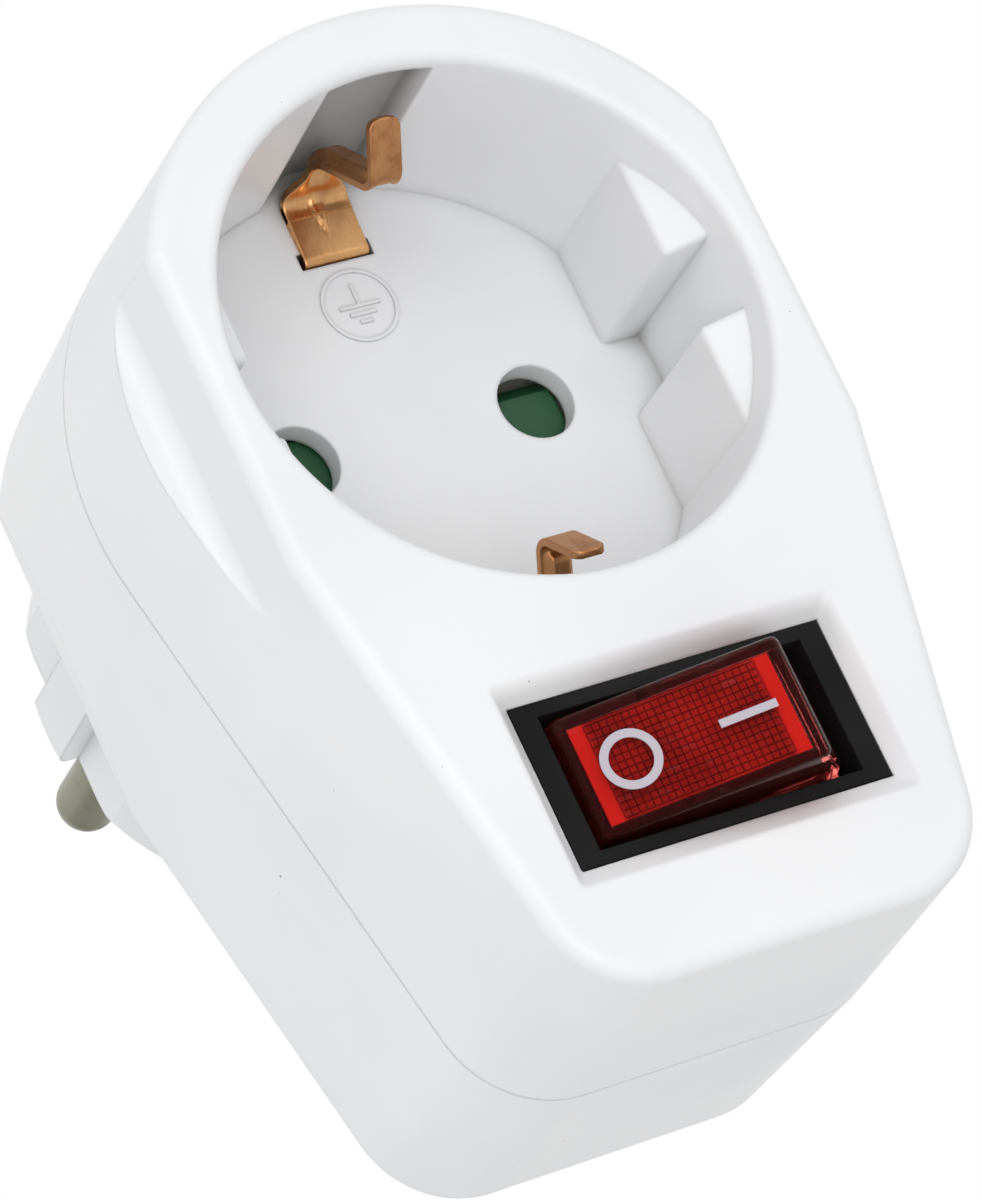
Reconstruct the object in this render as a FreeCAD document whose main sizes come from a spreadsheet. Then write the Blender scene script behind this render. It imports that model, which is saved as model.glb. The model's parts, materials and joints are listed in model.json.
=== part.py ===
import FreeCAD, Part
import math
import os
import re

import Sketcher

# Switched plug adapter. Millimetres. The origin is the middle of the plug on the
# wall plane: +Z is up, -Y is the front with the socket, +Y is the way the pins point.

doc = FreeCAD.newDocument("PlugAdapter")
sheet = doc.addObject("Spreadsheet::Sheet", "Sizes")

SIZES = {
    # casing
    "casing_rim": 5.5,
    "flank_angle": 11.3,
    "bottom_margin": 15.3,
    "corner_radius": 8.0,
    "body_depth": 38.4,
    "front_depth": 19.2,
    "front_draft": 2.0,
    "rear_draft": 0.9,
    "front_round": 1.3,
    "back_round": 0.7,
    "shell_wall": 1.8,
    "face_wall": 2.0,
    "back_wall": 2.0,
    "flat_rim": 2.7,
    "ledge_depth": 8.0,
    "ledge_round": 1.5,
    "grip_start": 6.9,
    "grip_bite": 0.2,
    "lip_height": 1.2,
    "lip_gap": 0.1,
    "casing_reach": 8.0,
    "skin_bite": 0.54,
    "overrun": 1.0,
    # socket
    "cup_radius": 19.6,
    "cup_depth": 17.5,
    "cup_wall": 1.8,
    "cup_round": 0.9,
    "floor_thickness": 2.0,
    "pin_spacing": 19.0,
    "pin_hole_radius": 2.9,
    "rib_height": 3.2,
    "rib_gap_half": 2.9,
    "rib_top": 2.0,
    "rib_slope": 2.8,
    "rib_round": 0.5,
    "clip_recess_half": 4.1,
    "clip_recess_depth": 1.9,
    "clip_recess_top": 1.3,
    "clip_recess_wall": 1.4,
    "clip_recess_lap": 2.6,
    "earth_mark_radius": 2.9,
    "earth_mark_height": 10.4,
    "earth_mark_line": 0.28,
    "earth_mark_relief": 0.12,
    "earth_mark_stem": 1.74,
    "earth_bar_long": 1.6,
    "earth_bar_middle": 1.04,
    "earth_bar_short": 0.49,
    "earth_bar_step": 0.64,
    # plug
    "plug_radius": 18.5,
    "plug_taper": 0.3,
    "plug_depth": 17.5,
    "plug_face_wall": 3.0,
    "plug_wall": 3.7,
    "plug_notch_depth": 2.2,
    "plug_ridge_half": 2.4,
    "plug_notch_end": 9.4,
    "plug_round": 1.0,
    "pin_radius": 2.4,
    "pin_length": 19.0,
    "pin_fit": 0.03,
    "pin_seat_radius": 2.6,
    "pin_seat_rise": 0.1,
    "pin_collar_radius": 3.4,
    "pin_collar": 1.6,
    "pin_tail_radius": 1.9,
    "pin_tail": 1.6,
    "bridge_plate": 2.0,
    "bridge_gap": 0.1,
    # earth path
    "strip": 0.7,
    "joint_gap": 0.02,
    "earth_half_width": 2.6,
    "earth_foot_length": 4.7,
    "clip_inset": 0.6,
    "clip_finger_half": 1.35,
    "clip_shoulder_depth": 12.4,
    "clip_lean": 0.6,
    "clip_nose_depth": 6.3,
    "clip_bulge": 5.0,
    "clip_tip_depth": 2.0,
    "clip_flare": 2.4,
    "clip_tip_round": 0.9,
    "clip_play": 0.12,
    "clip_slot": 0.3,
    "groove_half": 3.1,
    "groove_depth": 1.9,
    "plug_earth_half": 2.2,
    "plug_earth_slot": 0.2,
    "plug_earth_rise": 8.0,
    "plug_earth_sink": 1.0,
    "plug_earth_bulge": 0.5,
    "plug_earth_rest": 2.3,
    # contacts, their carrier and the shutter
    "carrier_edge": 0.8,
    "carrier_thickness": 3.0,
    "ring_margin": 1.5,
    "ring_wall": 1.1,
    "shutter_thickness": 2.2,
    "shutter_cover": 0.2,
    "shutter_end_play": 0.5,
    "shutter_hub": 3.6,
    "shutter_play": 0.3,
    "post_radius": 1.5,
    "post_fit": 0.05,
    "cell_wall": 0.8,
    "cell_half_x": 4.3,
    "cell_half_z": 3.9,
    "cell_rest": 2.1,
    "jaw_half_width": 2.4,
    "jaw_root": 3.1,
    "jaw_waist": 2.77,
    "jaw_mouth": 3.2,
    "jaw_lead": 2.0,
    "jaw_tip_gap": 0.3,
    "contact_base": 1.05,
    "clamp_wire": 0.5,
    "clamp_lead": 2.6,
    "clamp_height": 3.0,
    "clamp_play": 0.05,
    "keeper_wall": 1.2,
    "keeper_gap": 0.1,
    "keeper_open_half": 12.0,
    "keeper_notch_half": 3.3,
    "post_gap": 0.1,
    "spring_wire": 0.2,
    "spring_coil": 2.4,
    "spring_turns": 2.5,
    "spring_room": 0.7,
    "spring_depth": 1.2,
    "spring_gap": 0.05,
    "shutter_bevel": 1.1,
    # switch
    "switch_place": 13.3,
    "frame_half_x": 12.05,
    "frame_half_z": 5.9,
    "frame_sink": 1.2,
    "frame_flange": 1.6,
    "frame_sleeve": 1.6,
    "frame_ledge": 1.6,
    "snap_reach": 0.4,
    "snap_length": 1.5,
    "snap_half_width": 1.5,
    "snap_root": 0.2,
    "well_half_x": 13.3,
    "well_half_z": 7.45,
    "well_foot": 0.15,
    "well_corner_round": 0.8,
    "well_rim_round": 0.5,
    "window_half_x": 10.25,
    "window_half_z": 4.95,
    "switch_half_x": 11.2,
    "switch_half_z": 5.45,
    "switch_gap": 0.1,
    "switch_depth": 15.6,
    "switch_floor": 1.4,
    "pivot_depth": 5.8,
    "trunnion_radius": 1.1,
    "trunnion_length": 0.5,
    "trunnion_fit": 0.05,
    "rocker_tilt": 14.5,
    "lens_rise": 7.0,
    "lens_half_x": 8.3,
    "lens_shoulder": 2.2,
    "lens_shoulder_half_x": 9.8,
    "lens_half_z": 4.5,
    "lens_foot_half_z": 4.7,
    "lens_foot": 0.5,
    "lens_wall": 0.9,
    "tray_drop": 1.6,
    "tray_floor": 1.0,
    "tray_half_x": 9.0,
    "tray_wall": 0.8,
    "diffuser": 0.7,
    "diffuser_play": 0.1,
    "mark_relief": 0.1,
    "ring_mark_place": 4.3,
    "ring_mark_radius": 2.1,
    "ring_mark_line": 0.6,
    "bar_mark_place": 4.15,
    "bar_mark_length": 4.15,
    "bar_mark_line": 0.58,
    "lamp_radius": 1.7,
    "lamp_length": 9.0,
    "lamp_offset": 1.6,
    "lead_radius": 0.25,
    "lead_length": 1.4,
    "resistor_radius": 0.95,
    "resistor_length": 6.4,
    "resistor_offset": 2.0,
    "tube_radius": 2.1,
    "tube_length": 3.2,
    "plunger_radius": 1.1,
    "plunger_reach": 6.7,
    "plunger_fit": 0.1,
    "plunger_root": 2.95,
    "plunger_roof": 0.4,
    "plunger_coil": 0.8,
    "plunger_turns": 5.0,
    "arm_half_length": 8.6,
    "arm_half_width": 1.7,
    "arm_tilt": 7.0,
    "arm_thickness": 0.6,
    "rivet_radius": 1.2,
    "rivet_height": 0.35,
    "rivet_dome": 2.4,
    "fulcrum_rise": 2.2,
    "fulcrum_radius": 0.35,
    "fulcrum_gap": 0.06,
    "cheek": 0.4,
    "cheek_half": 1.0,
    "cheek_rise": 0.4,
    "blade_half_width": 1.8,
    "blade_thickness": 0.8,
    "blade_reach": 7.4,
    "blade_pad": 0.5,
    "terminal_place": 8.0,
    # conductors
    "bus_half_width": 1.6,
    "bus_drop": 9.4,
    "bus_lap": 3.3,
    "load_bus_plane": 3.6,
    "bus_spacing": 4.0,
    "supply_bus_place": 4.2,
    "supply_bus_half": 1.2,
    "supply_bus_drop": 10.6,
    "supply_shift": 3.4,
    "tag_half_width": 2.4,
    "tag_reach": 2.8,
    "tag_gap": 0.05,
    "neutral_bus_place": 5.2,
    # screws
    "upper_boss_angle": 35.0,
    "upper_boss_margin": 3.1,
    "upper_boss_depth": 7.5,
    "lower_boss_x": 12.0,
    "lower_boss_rise": 5.8,
    "boss_radius": 3.0,
    "boss_gap": 0.2,
    "screw_radius": 1.3,
    "screw_pilot": 1.3,
    "screw_clearance": 0.2,
    "screw_head_radius": 2.1,
    "screw_head_height": 1.4,
    "screw_cross": 0.5,
    "screw_cross_half": 1.3,
    "screw_cross_depth": 0.8,
    "screw_tip": 1.5,
    "screw_tip_radius": 0.43,
    "counterbore": 2.4,
    "screw_length": 22.0,
    "pilot_rest": 1.0,
}

# Places that several pieces share, each worked out from the sizes.
PLACES = {
    "body_radius": "cup_radius + casing_rim",
    "flat_half_width": "cup_radius + flat_rim",
    "switch_drop": "cup_radius + switch_place",
    "bottom_drop": "switch_drop + bottom_margin",
    "rib_face": "cup_radius - rib_height",
    "clip_recess_reach": "cup_radius + clip_recess_depth",
    "clip_recess_start": "cup_radius - clip_recess_lap",
    "clip_root": "cup_radius - clip_inset",
    "clip_shoulder": "clip_root + clip_lean",
    "clip_nose": "clip_shoulder - clip_bulge",
    "clip_tip": "clip_nose + clip_flare",
    "earth_foot": "clip_root - earth_foot_length",
    "plug_end_radius": "plug_radius - plug_taper",
    "plug_bore": "plug_radius - plug_wall",
    "plug_notch_face": "plug_radius - plug_notch_depth",
    "groove_floor": "plug_radius - groove_depth",
    "plug_earth_seat": "plug_radius - plug_earth_sink",
    "plug_earth_bow": "plug_earth_seat + plug_earth_bulge",
    "plug_earth_end": "plug_depth - plug_earth_rest",
    "carrier_radius": "plug_bore + carrier_edge",
    "ring_radius": "pin_place + pin_hole_radius + ring_margin",
    "shutter_half_width": "pin_hole_radius - shutter_cover",
    "shutter_reach": "ring_radius - ring_wall - shutter_end_play",
    "upper_boss_x": "(plug_radius + upper_boss_margin) * sin(upper_boss_angle)",
    "upper_boss_z": "(plug_radius + upper_boss_margin) * cos(upper_boss_angle)",
    "lower_boss_z": "bottom_drop - lower_boss_rise",
    "front_face": "-body_depth",
    "parting": "front_depth - body_depth",
    "cup_floor": "cup_depth - body_depth",
    "floor_back": "cup_floor + floor_thickness",
    "pin_place": "pin_spacing / 2",
    "shutter_front": "floor_back + shutter_play",
    "shutter_back": "shutter_front + shutter_thickness",
    "carrier_front": "shutter_back + shutter_play",
    "carrier_back": "carrier_front + carrier_thickness",
    "cell_back": "contact_plane - strip / 2 - cell_rest",
    "clamp_front": "carrier_back + clamp_lead",
    "strap_plane": "carrier_back + strip / 2",
    "strap_leg": "earth_foot + strip / 2",
    "clip_plane": "cup_floor - strip / 2",
    "clip_shoulder_y": "front_face + clip_shoulder_depth",
    "clip_nose_y": "front_face + clip_nose_depth",
    "clip_tip_y": "front_face + clip_tip_depth",
    "clip_pivot": "clip_root + strip / 2",
    "contact_plane": "-contact_base",
    "jaw_front": "carrier_back + jaw_tip_gap",
    "plug_face_inside": "plug_depth - plug_face_wall",
    "collar_front": "plug_face_inside - pin_collar",
    "bridge_back": "collar_front - bridge_gap",
    "bridge_front": "bridge_back - bridge_plate",
    "tag_plane": "bridge_front - tag_gap - strip / 2",
    "tail_end": "bridge_front - pin_tail",
    "frame_face": "frame_sink - body_depth",
    "frame_back": "frame_face + frame_flange",
    "switch_z": "-switch_drop",
    "pivot_y": "pivot_depth - body_depth",
    "switch_back": "frame_face + switch_depth",
    "switch_floor_front": "switch_back - switch_floor",
    "pad_front": "switch_floor_front - blade_pad",
    "blade_end": "switch_back + blade_reach",
    "arm_back": "switch_floor_front - fulcrum_rise",
    "arm_pivot": "arm_back + fulcrum_gap + fulcrum_radius",
    "load_plane": "-load_bus_plane",
    "supply_plane": "load_plane - bus_spacing",
    "shift_plane": "supply_plane - supply_shift",
    "lap_plane": "-switch_drop - blade_thickness / 2 - joint_gap - strip / 2",
    "lap_end": "blade_end - bus_lap",
    "lens_top": "pivot_y - lens_rise",
    "tray_front": "pivot_y - lens_foot",
    "tray_back": "pivot_y + tray_drop",
    "tray_floor_front": "tray_back - tray_floor",
    "tube_end": "tray_back + tube_length",
    "plunger_start": "pivot_y + plunger_root",
    "plunger_tip": "pivot_y + plunger_reach",
    "counterbore_floor": "-counterbore",
    "screw_end": "counterbore_floor - screw_length",
}

WORDS = re.compile(r"[a-z][a-z_]*")


def bound(text):
    """The expression with each size and place written as the document knows it."""
    def name(found):
        word = found.group(0)
        if word in SIZES:
            return "Sizes." + word
        if word in PLACES:
            return "Places." + word
        return word
    return WORDS.sub(name, str(text))


for row, (alias, amount) in enumerate(SIZES.items(), start=1):
    sheet.set(f"A{row}", alias)
    sheet.set(f"B{row}", str(amount))
    sheet.setAlias(f"B{row}", alias)
doc.recompute()

places = doc.addObject("App::VarSet", "Places")
for alias in PLACES:
    places.addProperty("App::PropertyFloat", alias)
for alias, text in PLACES.items():
    places.setExpression(alias, bound(text))
reader = doc.addObject("App::VarSet", "Reader")
reader.addProperty("App::PropertyFloat", "Reading")
doc.recompute()


def value(text):
    """The present number behind an expression on the sizes."""
    reader.setExpression("Reading", bound(text))
    reader.recompute()
    return reader.Reading


def span(side, near, far):
    """The low and high ends of a stretch on one side of the middle plane."""
    if side > 0:
        return (f"{near}", f"{far}")
    return (f"-({far})", f"-({near})")


def around(middle, half):
    """The low and high ends of a stretch centred on a place."""
    return (f"({middle}) - ({half})", f"({middle}) + ({half})")


NEAR = 1e-4
X_AXIS = FreeCAD.Vector(1, 0, 0)
Y_AXIS = FreeCAD.Vector(0, 1, 0)
Z_AXIS = FreeCAD.Vector(0, 0, 1)
ALONG = {
    "x": FreeCAD.Rotation(Y_AXIS, 90),
    "y": FreeCAD.Rotation(X_AXIS, -90),
    "z": FreeCAD.Rotation(Z_AXIS, 0),
}


def block(name, x, y, z):
    item = doc.addObject("Part::Box", name)
    for prop, axis, ends in zip(("Length", "Width", "Height"), "xyz", (x, y, z)):
        item.setExpression(prop, bound(f"({ends[1]}) - ({ends[0]})"))
        item.setExpression(f"Placement.Base.{axis}", bound(ends[0]))
    return item


def set_along(item, axis, centre, low):
    item.Placement = FreeCAD.Placement(FreeCAD.Vector(), ALONG[axis])
    across = [letter for letter in "xyz" if letter != axis]
    item.setExpression(f"Placement.Base.{axis}", bound(low))
    for letter, place in zip(across, centre):
        item.setExpression(f"Placement.Base.{letter}", bound(place))


def rod(name, axis, radius, centre, ends):
    item = doc.addObject("Part::Cylinder", name)
    item.setExpression("Radius", bound(radius))
    item.setExpression("Height", bound(f"({ends[1]}) - ({ends[0]})"))
    set_along(item, axis, centre, ends[0])
    return item


def cone(name, axis, radius_low, radius_high, centre, ends):
    item = doc.addObject("Part::Cone", name)
    item.setExpression("Radius1", bound(radius_low))
    item.setExpression("Radius2", bound(radius_high))
    item.setExpression("Height", bound(f"({ends[1]}) - ({ends[0]})"))
    set_along(item, axis, centre, ends[0])
    return item


def ball(name, radius, centre):
    item = doc.addObject("Part::Sphere", name)
    item.setExpression("Radius", bound(radius))
    for letter, place in zip("xyz", centre):
        item.setExpression(f"Placement.Base.{letter}", bound(place))
    return item


def fuse(name, items):
    if len(items) == 1:
        return items[0]
    item = doc.addObject("Part::MultiFuse", name)
    item.Shapes = items
    item.Refine = True
    return item


def cut(name, base, tools):
    item = doc.addObject("Part::Cut", name)
    item.Base = base
    item.Tool = fuse(name + "_tools", tools)
    item.Refine = True
    return item


def common(name, items):
    item = doc.addObject("Part::MultiCommon", name)
    item.Shapes = items
    return item


def tube(name, axis, outer, inner, centre, ends):
    wall = rod(name + "_outside", axis, outer, centre, ends)
    bore = rod(name + "_bore", axis, inner, centre, (f"{ends[0]} - overrun", f"{ends[1]} + overrun"))
    return cut(name, wall, [bore])


def rounded(name, base, radius, chosen):
    """Rounds the edges of a shape that the chosen test picks."""
    doc.recompute()
    item = doc.addObject("Part::Fillet", name)
    item.Base = base
    size = value(radius)
    edges = enumerate(base.Shape.Edges, start=1)
    item.Edges = [(k, size, size) for k, edge in edges if chosen(edge.BoundBox)]
    return item


def level(box, place):
    """Whether an edge lies wholly in the upright plane at a place along the depth."""
    return abs(box.YMin - value(place)) < NEAR and abs(box.YMax - value(place)) < NEAR


def turned(item, angle, x, y):
    """Turns a piece about an upright line through x and y."""
    holder = doc.addObject("Part::Compound", item.Name + "_turned")
    holder.Links = [item]
    holder.Placement.Rotation = FreeCAD.Rotation(Z_AXIS, 1)
    holder.setExpression("Placement.Rotation.Angle", bound(angle))
    across = f"({x}) - (({x}) * cos({angle}) - ({y}) * sin({angle}))"
    along = f"({y}) - (({x}) * sin({angle}) + ({y}) * cos({angle}))"
    holder.setExpression("Placement.Base.x", bound(across))
    holder.setExpression("Placement.Base.y", bound(along))
    return holder


def origin_plane(body, role):
    return next(item for item in body.Origin.OriginFeatures if item.Role == role)


def attached_sketch(body, name, role, offset):
    """A sketch on one of the body's own planes, moved along the plane's normal."""
    sketch = body.newObject("Sketcher::SketchObject", name)
    sketch.AttachmentSupport = [(origin_plane(body, role), "")]
    sketch.MapMode = "FlatFace"
    sketch.setExpression("AttachmentOffset.Base.z", bound(offset))
    return sketch


def bind_constraint(sketch, constraint, text):
    index = sketch.addConstraint(constraint)
    sketch.setExpression(f"Constraints[{index}]", bound(text))


def polygon(sketch, points):
    """A closed outline of straight lines through points given as expressions."""
    spots = [FreeCAD.Vector(value(a), value(b), 0) for a, b in points]
    count = len(spots)
    lines = [sketch.addGeometry(Part.LineSegment(spots[k], spots[(k + 1) % count])) for k in range(count)]
    for k, line in enumerate(lines):
        sketch.addConstraint(Sketcher.Constraint("Coincident", line, 2, lines[(k + 1) % count], 1))
    for line, spot, (a, b) in zip(lines, spots, points):
        bind_constraint(sketch, Sketcher.Constraint("DistanceX", -1, 1, line, 1, spot.x), a)
        bind_constraint(sketch, Sketcher.Constraint("DistanceY", -1, 1, line, 1, spot.y), b)
    return spots


def slab(name, plane, points, ends, corner_rounds=()):
    """A plate with a straight-sided outline. Plane xy, xz or yz; ends lie along the third axis."""
    body = doc.addObject("PartDesign::Body", name)
    role = {"xy": "XY_Plane", "xz": "XZ_Plane", "yz": "YZ_Plane"}[plane]
    start = f"-({ends[1]})" if plane == "xz" else ends[0]
    sketch = attached_sketch(body, name + "_outline", role, start)
    spots = polygon(sketch, points)
    pad = body.newObject("PartDesign::Pad", name + "_pad")
    pad.Profile = sketch
    pad.setExpression("Length", bound(f"({ends[1]}) - ({ends[0]})"))
    sketch.Visibility = False
    doc.recompute()
    for number, (corners, radius) in enumerate(corner_rounds):
        picked = []
        tip = body.Tip
        for k, edge in enumerate(tip.Shape.Edges, start=1):
            stands = [[getattr(v.Point, letter) for letter in plane] for v in edge.Vertexes]
            for corner in corners:
                near = [math.dist(stand, spots[corner][:2]) < NEAR for stand in stands]
                if len(near) == 2 and all(near):
                    picked.append(f"Edge{k}")
        soft = body.newObject("PartDesign::Fillet", f"{name}_round_{number}")
        soft.Base = (tip, picked)
        soft.setExpression("Radius", bound(radius))
        doc.recompute()
    return body


def strip(name, plane, points, thickness, ends):
    """A bent strip. Plane xy or yz holds the bends; the width lies along the third axis."""
    pieces = []
    for k, ((a, b), (c, d)) in enumerate(zip(points[:-1], points[1:])):
        run = f"sqrt((({c}) - ({a}))^2 + (({d}) - ({b}))^2)"
        side = f"({a}) + ({thickness}) / 2 * (({d}) - ({b})) / {run}"
        foot = f"({b}) - ({thickness}) / 2 * (({c}) - ({a})) / {run}"
        piece = doc.addObject("Part::Box", f"{name}_run_{k}")
        if plane == "xy":
            axis, props, letters = Z_AXIS, ("Length", "Width", "Height"), ("x", "y", "z")
        else:
            axis, props, letters = X_AXIS, ("Width", "Height", "Length"), ("y", "z", "x")
        for prop, text in zip(props, (run, thickness, f"({ends[1]}) - ({ends[0]})")):
            piece.setExpression(prop, bound(text))
        piece.Placement.Rotation = FreeCAD.Rotation(axis, 1)
        turn = f"atan2(({d}) - ({b}); ({c}) - ({a}))"
        piece.setExpression("Placement.Rotation.Angle", bound(turn))
        for letter, text in zip(letters, (side, foot, ends[0])):
            piece.setExpression(f"Placement.Base.{letter}", bound(text))
        pieces.append(piece)
    for k, (a, b) in enumerate(points[1:-1]):
        long_axis = "z" if plane == "xy" else "x"
        pieces.append(rod(f"{name}_bend_{k}", long_axis, f"({thickness}) / 2", (a, b), ends))
    return fuse(name, pieces)


def casing_outline(body, name, inset, place):
    """The round top, the two straight flanks that touch it and the rounded foot."""
    sketch = attached_sketch(body, name, "XZ_Plane", f"-({place})")
    lean = math.radians(value("flank_angle"))
    big = value(f"body_radius - ({inset})")
    small = value(f"corner_radius - ({inset})")
    foot = -value(f"bottom_drop - ({inset})")
    point = FreeCAD.Vector
    shoulder_x = big * math.cos(lean)
    shoulder_z = -big * math.sin(lean)
    corner_z = foot + small
    corner_x = (big + corner_z * math.sin(lean)) / math.cos(lean) - small / math.cos(lean)
    edge_x = corner_x + small * math.cos(lean)
    edge_z = corner_z - small * math.sin(lean)
    up = point(0, 0, 1)
    top = sketch.addGeometry(Part.ArcOfCircle(Part.Circle(point(), up, big), -lean, math.pi + lean))
    right = sketch.addGeometry(Part.LineSegment(point(edge_x, edge_z, 0), point(shoulder_x, shoulder_z, 0)))
    left = sketch.addGeometry(Part.LineSegment(point(-shoulder_x, shoulder_z, 0), point(-edge_x, edge_z, 0)))
    bottom = sketch.addGeometry(Part.LineSegment(point(-corner_x, foot, 0), point(corner_x, foot, 0)))
    right_ring = Part.Circle(point(corner_x, corner_z, 0), up, small)
    left_ring = Part.Circle(point(-corner_x, corner_z, 0), up, small)
    right_corner = sketch.addGeometry(Part.ArcOfCircle(right_ring, -math.pi / 2, -lean))
    left_corner = sketch.addGeometry(Part.ArcOfCircle(left_ring, math.pi + lean, 1.5 * math.pi))
    rule = Sketcher.Constraint
    sketch.addConstraint(rule("Coincident", top, 3, -1, 1))
    bind_constraint(sketch, rule("Radius", top, big), f"body_radius - ({inset})")
    chain = [(right, 2, top, 1), (top, 2, left, 1), (left, 2, left_corner, 1),
             (left_corner, 2, bottom, 1), (bottom, 2, right_corner, 1), (right_corner, 2, right, 1)]
    for link in chain:
        sketch.addConstraint(rule("Tangent", *link))
    bind_constraint(sketch, rule("Radius", right_corner, small), f"corner_radius - ({inset})")
    sketch.addConstraint(rule("Equal", right_corner, left_corner))
    sketch.addConstraint(rule("Horizontal", bottom))
    bind_constraint(sketch, rule("DistanceY", bottom, 1, -1, 1, -foot), f"bottom_drop - ({inset})")
    bind_constraint(sketch, rule("Angle", right, 2, -2, 2, lean), "flank_angle * 1 deg")
    sketch.addConstraint(rule("Equal", left, right))
    sketch.Visibility = False
    return sketch


def casing_block(name, inset, place, length, draft, forward):
    """A drafted block of the casing's outline, from a place towards the front or the back."""
    body = doc.addObject("PartDesign::Body", name)
    sketch = casing_outline(body, name + "_outline", inset, place)
    pad = body.newObject("PartDesign::Pad", name + "_pad")
    pad.Profile = sketch
    pad.Reversed = not forward
    pad.setExpression("Length", bound(length))
    pad.setExpression("TaperAngle", bound(f"-({draft})"))
    doc.recompute()
    return body


SIDES = (("right", 1), ("left", -1))
ENDS = (("upper", 1), ("lower", -1))
CENTRE = ("0", "0")
BOSSES = (
    ("upper_right", "upper_boss_x", "upper_boss_z", "parting - upper_boss_depth"),
    ("upper_left", "-upper_boss_x", "upper_boss_z", "parting - upper_boss_depth"),
    ("lower_right", "lower_boss_x", "-lower_boss_z", "front_face + face_wall / 2"),
    ("lower_left", "-lower_boss_x", "-lower_boss_z", "front_face + face_wall / 2"),
)
NODES = []


def node(label, item):
    item.Label = label
    NODES.append(item)


def signed(side, text):
    return text if side > 0 else f"-({text})"


def at_bosses(name, radius, low, high):
    return [
        rod(f"{name}_{tag}", "y", radius, (x, z), (low or start, high))
        for tag, x, z, start in BOSSES
    ]


# Front shell

front_block = casing_block("front_block", "0", "parting", "front_depth", "front_draft", True)
front_steps = []
for tag, side in SIDES:
    flat = signed(side, "flat_half_width")
    far = signed(side, "body_radius + casing_reach")
    profile = [(flat, "front_face - overrun"), (flat, "front_face + ledge_depth"),
               (far, "front_face + ledge_depth"), (far, "front_face - overrun")]
    front_steps.append(slab(f"front_step_{tag}", "xy", profile, ("-bottom_drop", "body_radius"),
                            [((1,), "ledge_round")]))
front_stepped = cut("front_stepped", front_block, front_steps)
front_soft = rounded("front_soft", front_stepped, "front_round", lambda box: level(box, "front_face"))
front_room = casing_block("front_room", "shell_wall", "parting", "front_depth - face_wall",
                          "front_draft", True)
front_stays = [
    block(f"front_stay_{tag}", span(side, "flat_half_width - shell_wall", "body_radius + casing_reach"),
          ("front_face", "front_face + ledge_depth + shell_wall"), ("-bottom_drop", "body_radius"))
    for tag, side in SIDES
]
front_skin = cut("front_skin", front_soft, [cut("front_room_stepped", front_room, front_stays)])
cup_outside = rod("cup_outside", "y", "cup_radius + cup_wall", CENTRE,
                  ("front_face + face_wall / 2", "floor_back"))
clip_backings = [
    block(f"clip_backing_{tag}", around("0", "clip_recess_half + clip_recess_wall"),
          ("front_face + face_wall / 2", "floor_back"),
          span(side, "clip_recess_start", "clip_recess_reach + clip_recess_wall"))
    for tag, side in ENDS
]
clip_backings.append(block("clip_backing_bridge", around("0", "clip_recess_half + clip_recess_wall"),
                           ("front_face + face_wall / 2", "parting - lip_height - lip_gap * 2"),
                           ("clip_recess_start", "body_radius - shell_wall + skin_bite")))
front_bosses = at_bosses("front_boss", "boss_radius", None, "parting")
shutter_ring = tube("shutter_ring", "y", "ring_radius", "ring_radius - ring_wall", CENTRE,
                    ("floor_back - floor_thickness / 2", "carrier_front"))
well_block = block("well_block", around("0", "frame_half_x + frame_sleeve"),
                   ("front_face + face_wall / 2", "frame_back + frame_ledge"),
                   around("switch_z", "frame_half_z + frame_sleeve"))
front_filled = fuse("front_filled",
                    [front_skin, cup_outside, well_block] + clip_backings + front_bosses)
cup_bore = rod("cup_bore", "y", "cup_radius", CENTRE, ("front_face - overrun", "cup_floor"))
front_bored = cut("front_bored", front_filled, [cup_bore])
cup_rim = value("cup_radius")
front_rimmed = rounded("front_rimmed", front_bored, "cup_round",
                       lambda box: level(box, "front_face") and abs(box.ZMax - cup_rim) < NEAR)
pin_entries = [
    rod(f"pin_entry_{tag}", "y", "pin_hole_radius", (signed(side, "pin_place"), "0"),
        ("cup_floor - overrun", "floor_back + overrun"))
    for tag, side in SIDES
]
clip_slots = [
    block(f"clip_slot_{tag}", around("0", "earth_half_width + clip_slot"),
          ("cup_floor - overrun", "floor_back + overrun"),
          span(side, "earth_foot - clip_slot", "earth_foot + strip + clip_slot"))
    for tag, side in ENDS
]
clip_recesses = [
    common(f"clip_recess_{tag}", [
        rod(f"clip_recess_sweep_{tag}", "y", "clip_recess_reach", CENTRE,
            ("front_face + clip_recess_top", "cup_floor")),
        block(f"clip_recess_band_{tag}", around("0", "clip_recess_half"),
              ("front_face + clip_recess_top", "cup_floor"),
              span(side, "clip_recess_start", "clip_recess_reach + overrun")),
    ])
    for tag, side in ENDS
]
well = doc.addObject("Part::Wedge", "well")
for prop, text in (("Xmin", "-well_half_x"), ("Xmax", "well_half_x"),
                   ("Zmin", "-switch_drop - well_half_z"), ("Zmax", "-switch_drop + well_half_z"),
                   ("X2min", "-frame_half_x - well_foot"), ("X2max", "frame_half_x + well_foot"),
                   ("Z2min", "-switch_drop - frame_half_z - well_foot"),
                   ("Z2max", "-switch_drop + frame_half_z + well_foot"),
                   ("Ymin", "front_face"), ("Ymax", "frame_face")):
    well.setExpression(prop, bound(text))
well_soft = rounded("well_soft", well, "well_corner_round",
                    lambda box: box.YLength > value("frame_sink") - NEAR)
flange_seat = block("flange_seat", around("0", "frame_half_x + switch_gap"),
                    ("frame_face - switch_gap", "frame_back"),
                    around("switch_z", "frame_half_z + switch_gap"))
switch_opening = block("switch_opening", around("0", "switch_half_x + switch_gap"),
                       ("frame_face", "frame_back + frame_ledge + overrun"),
                       around("switch_z", "switch_half_z + switch_gap"))
pilot_holes = at_bosses("pilot_hole", "screw_pilot", "screw_end - pilot_rest", "parting + overrun")


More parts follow.
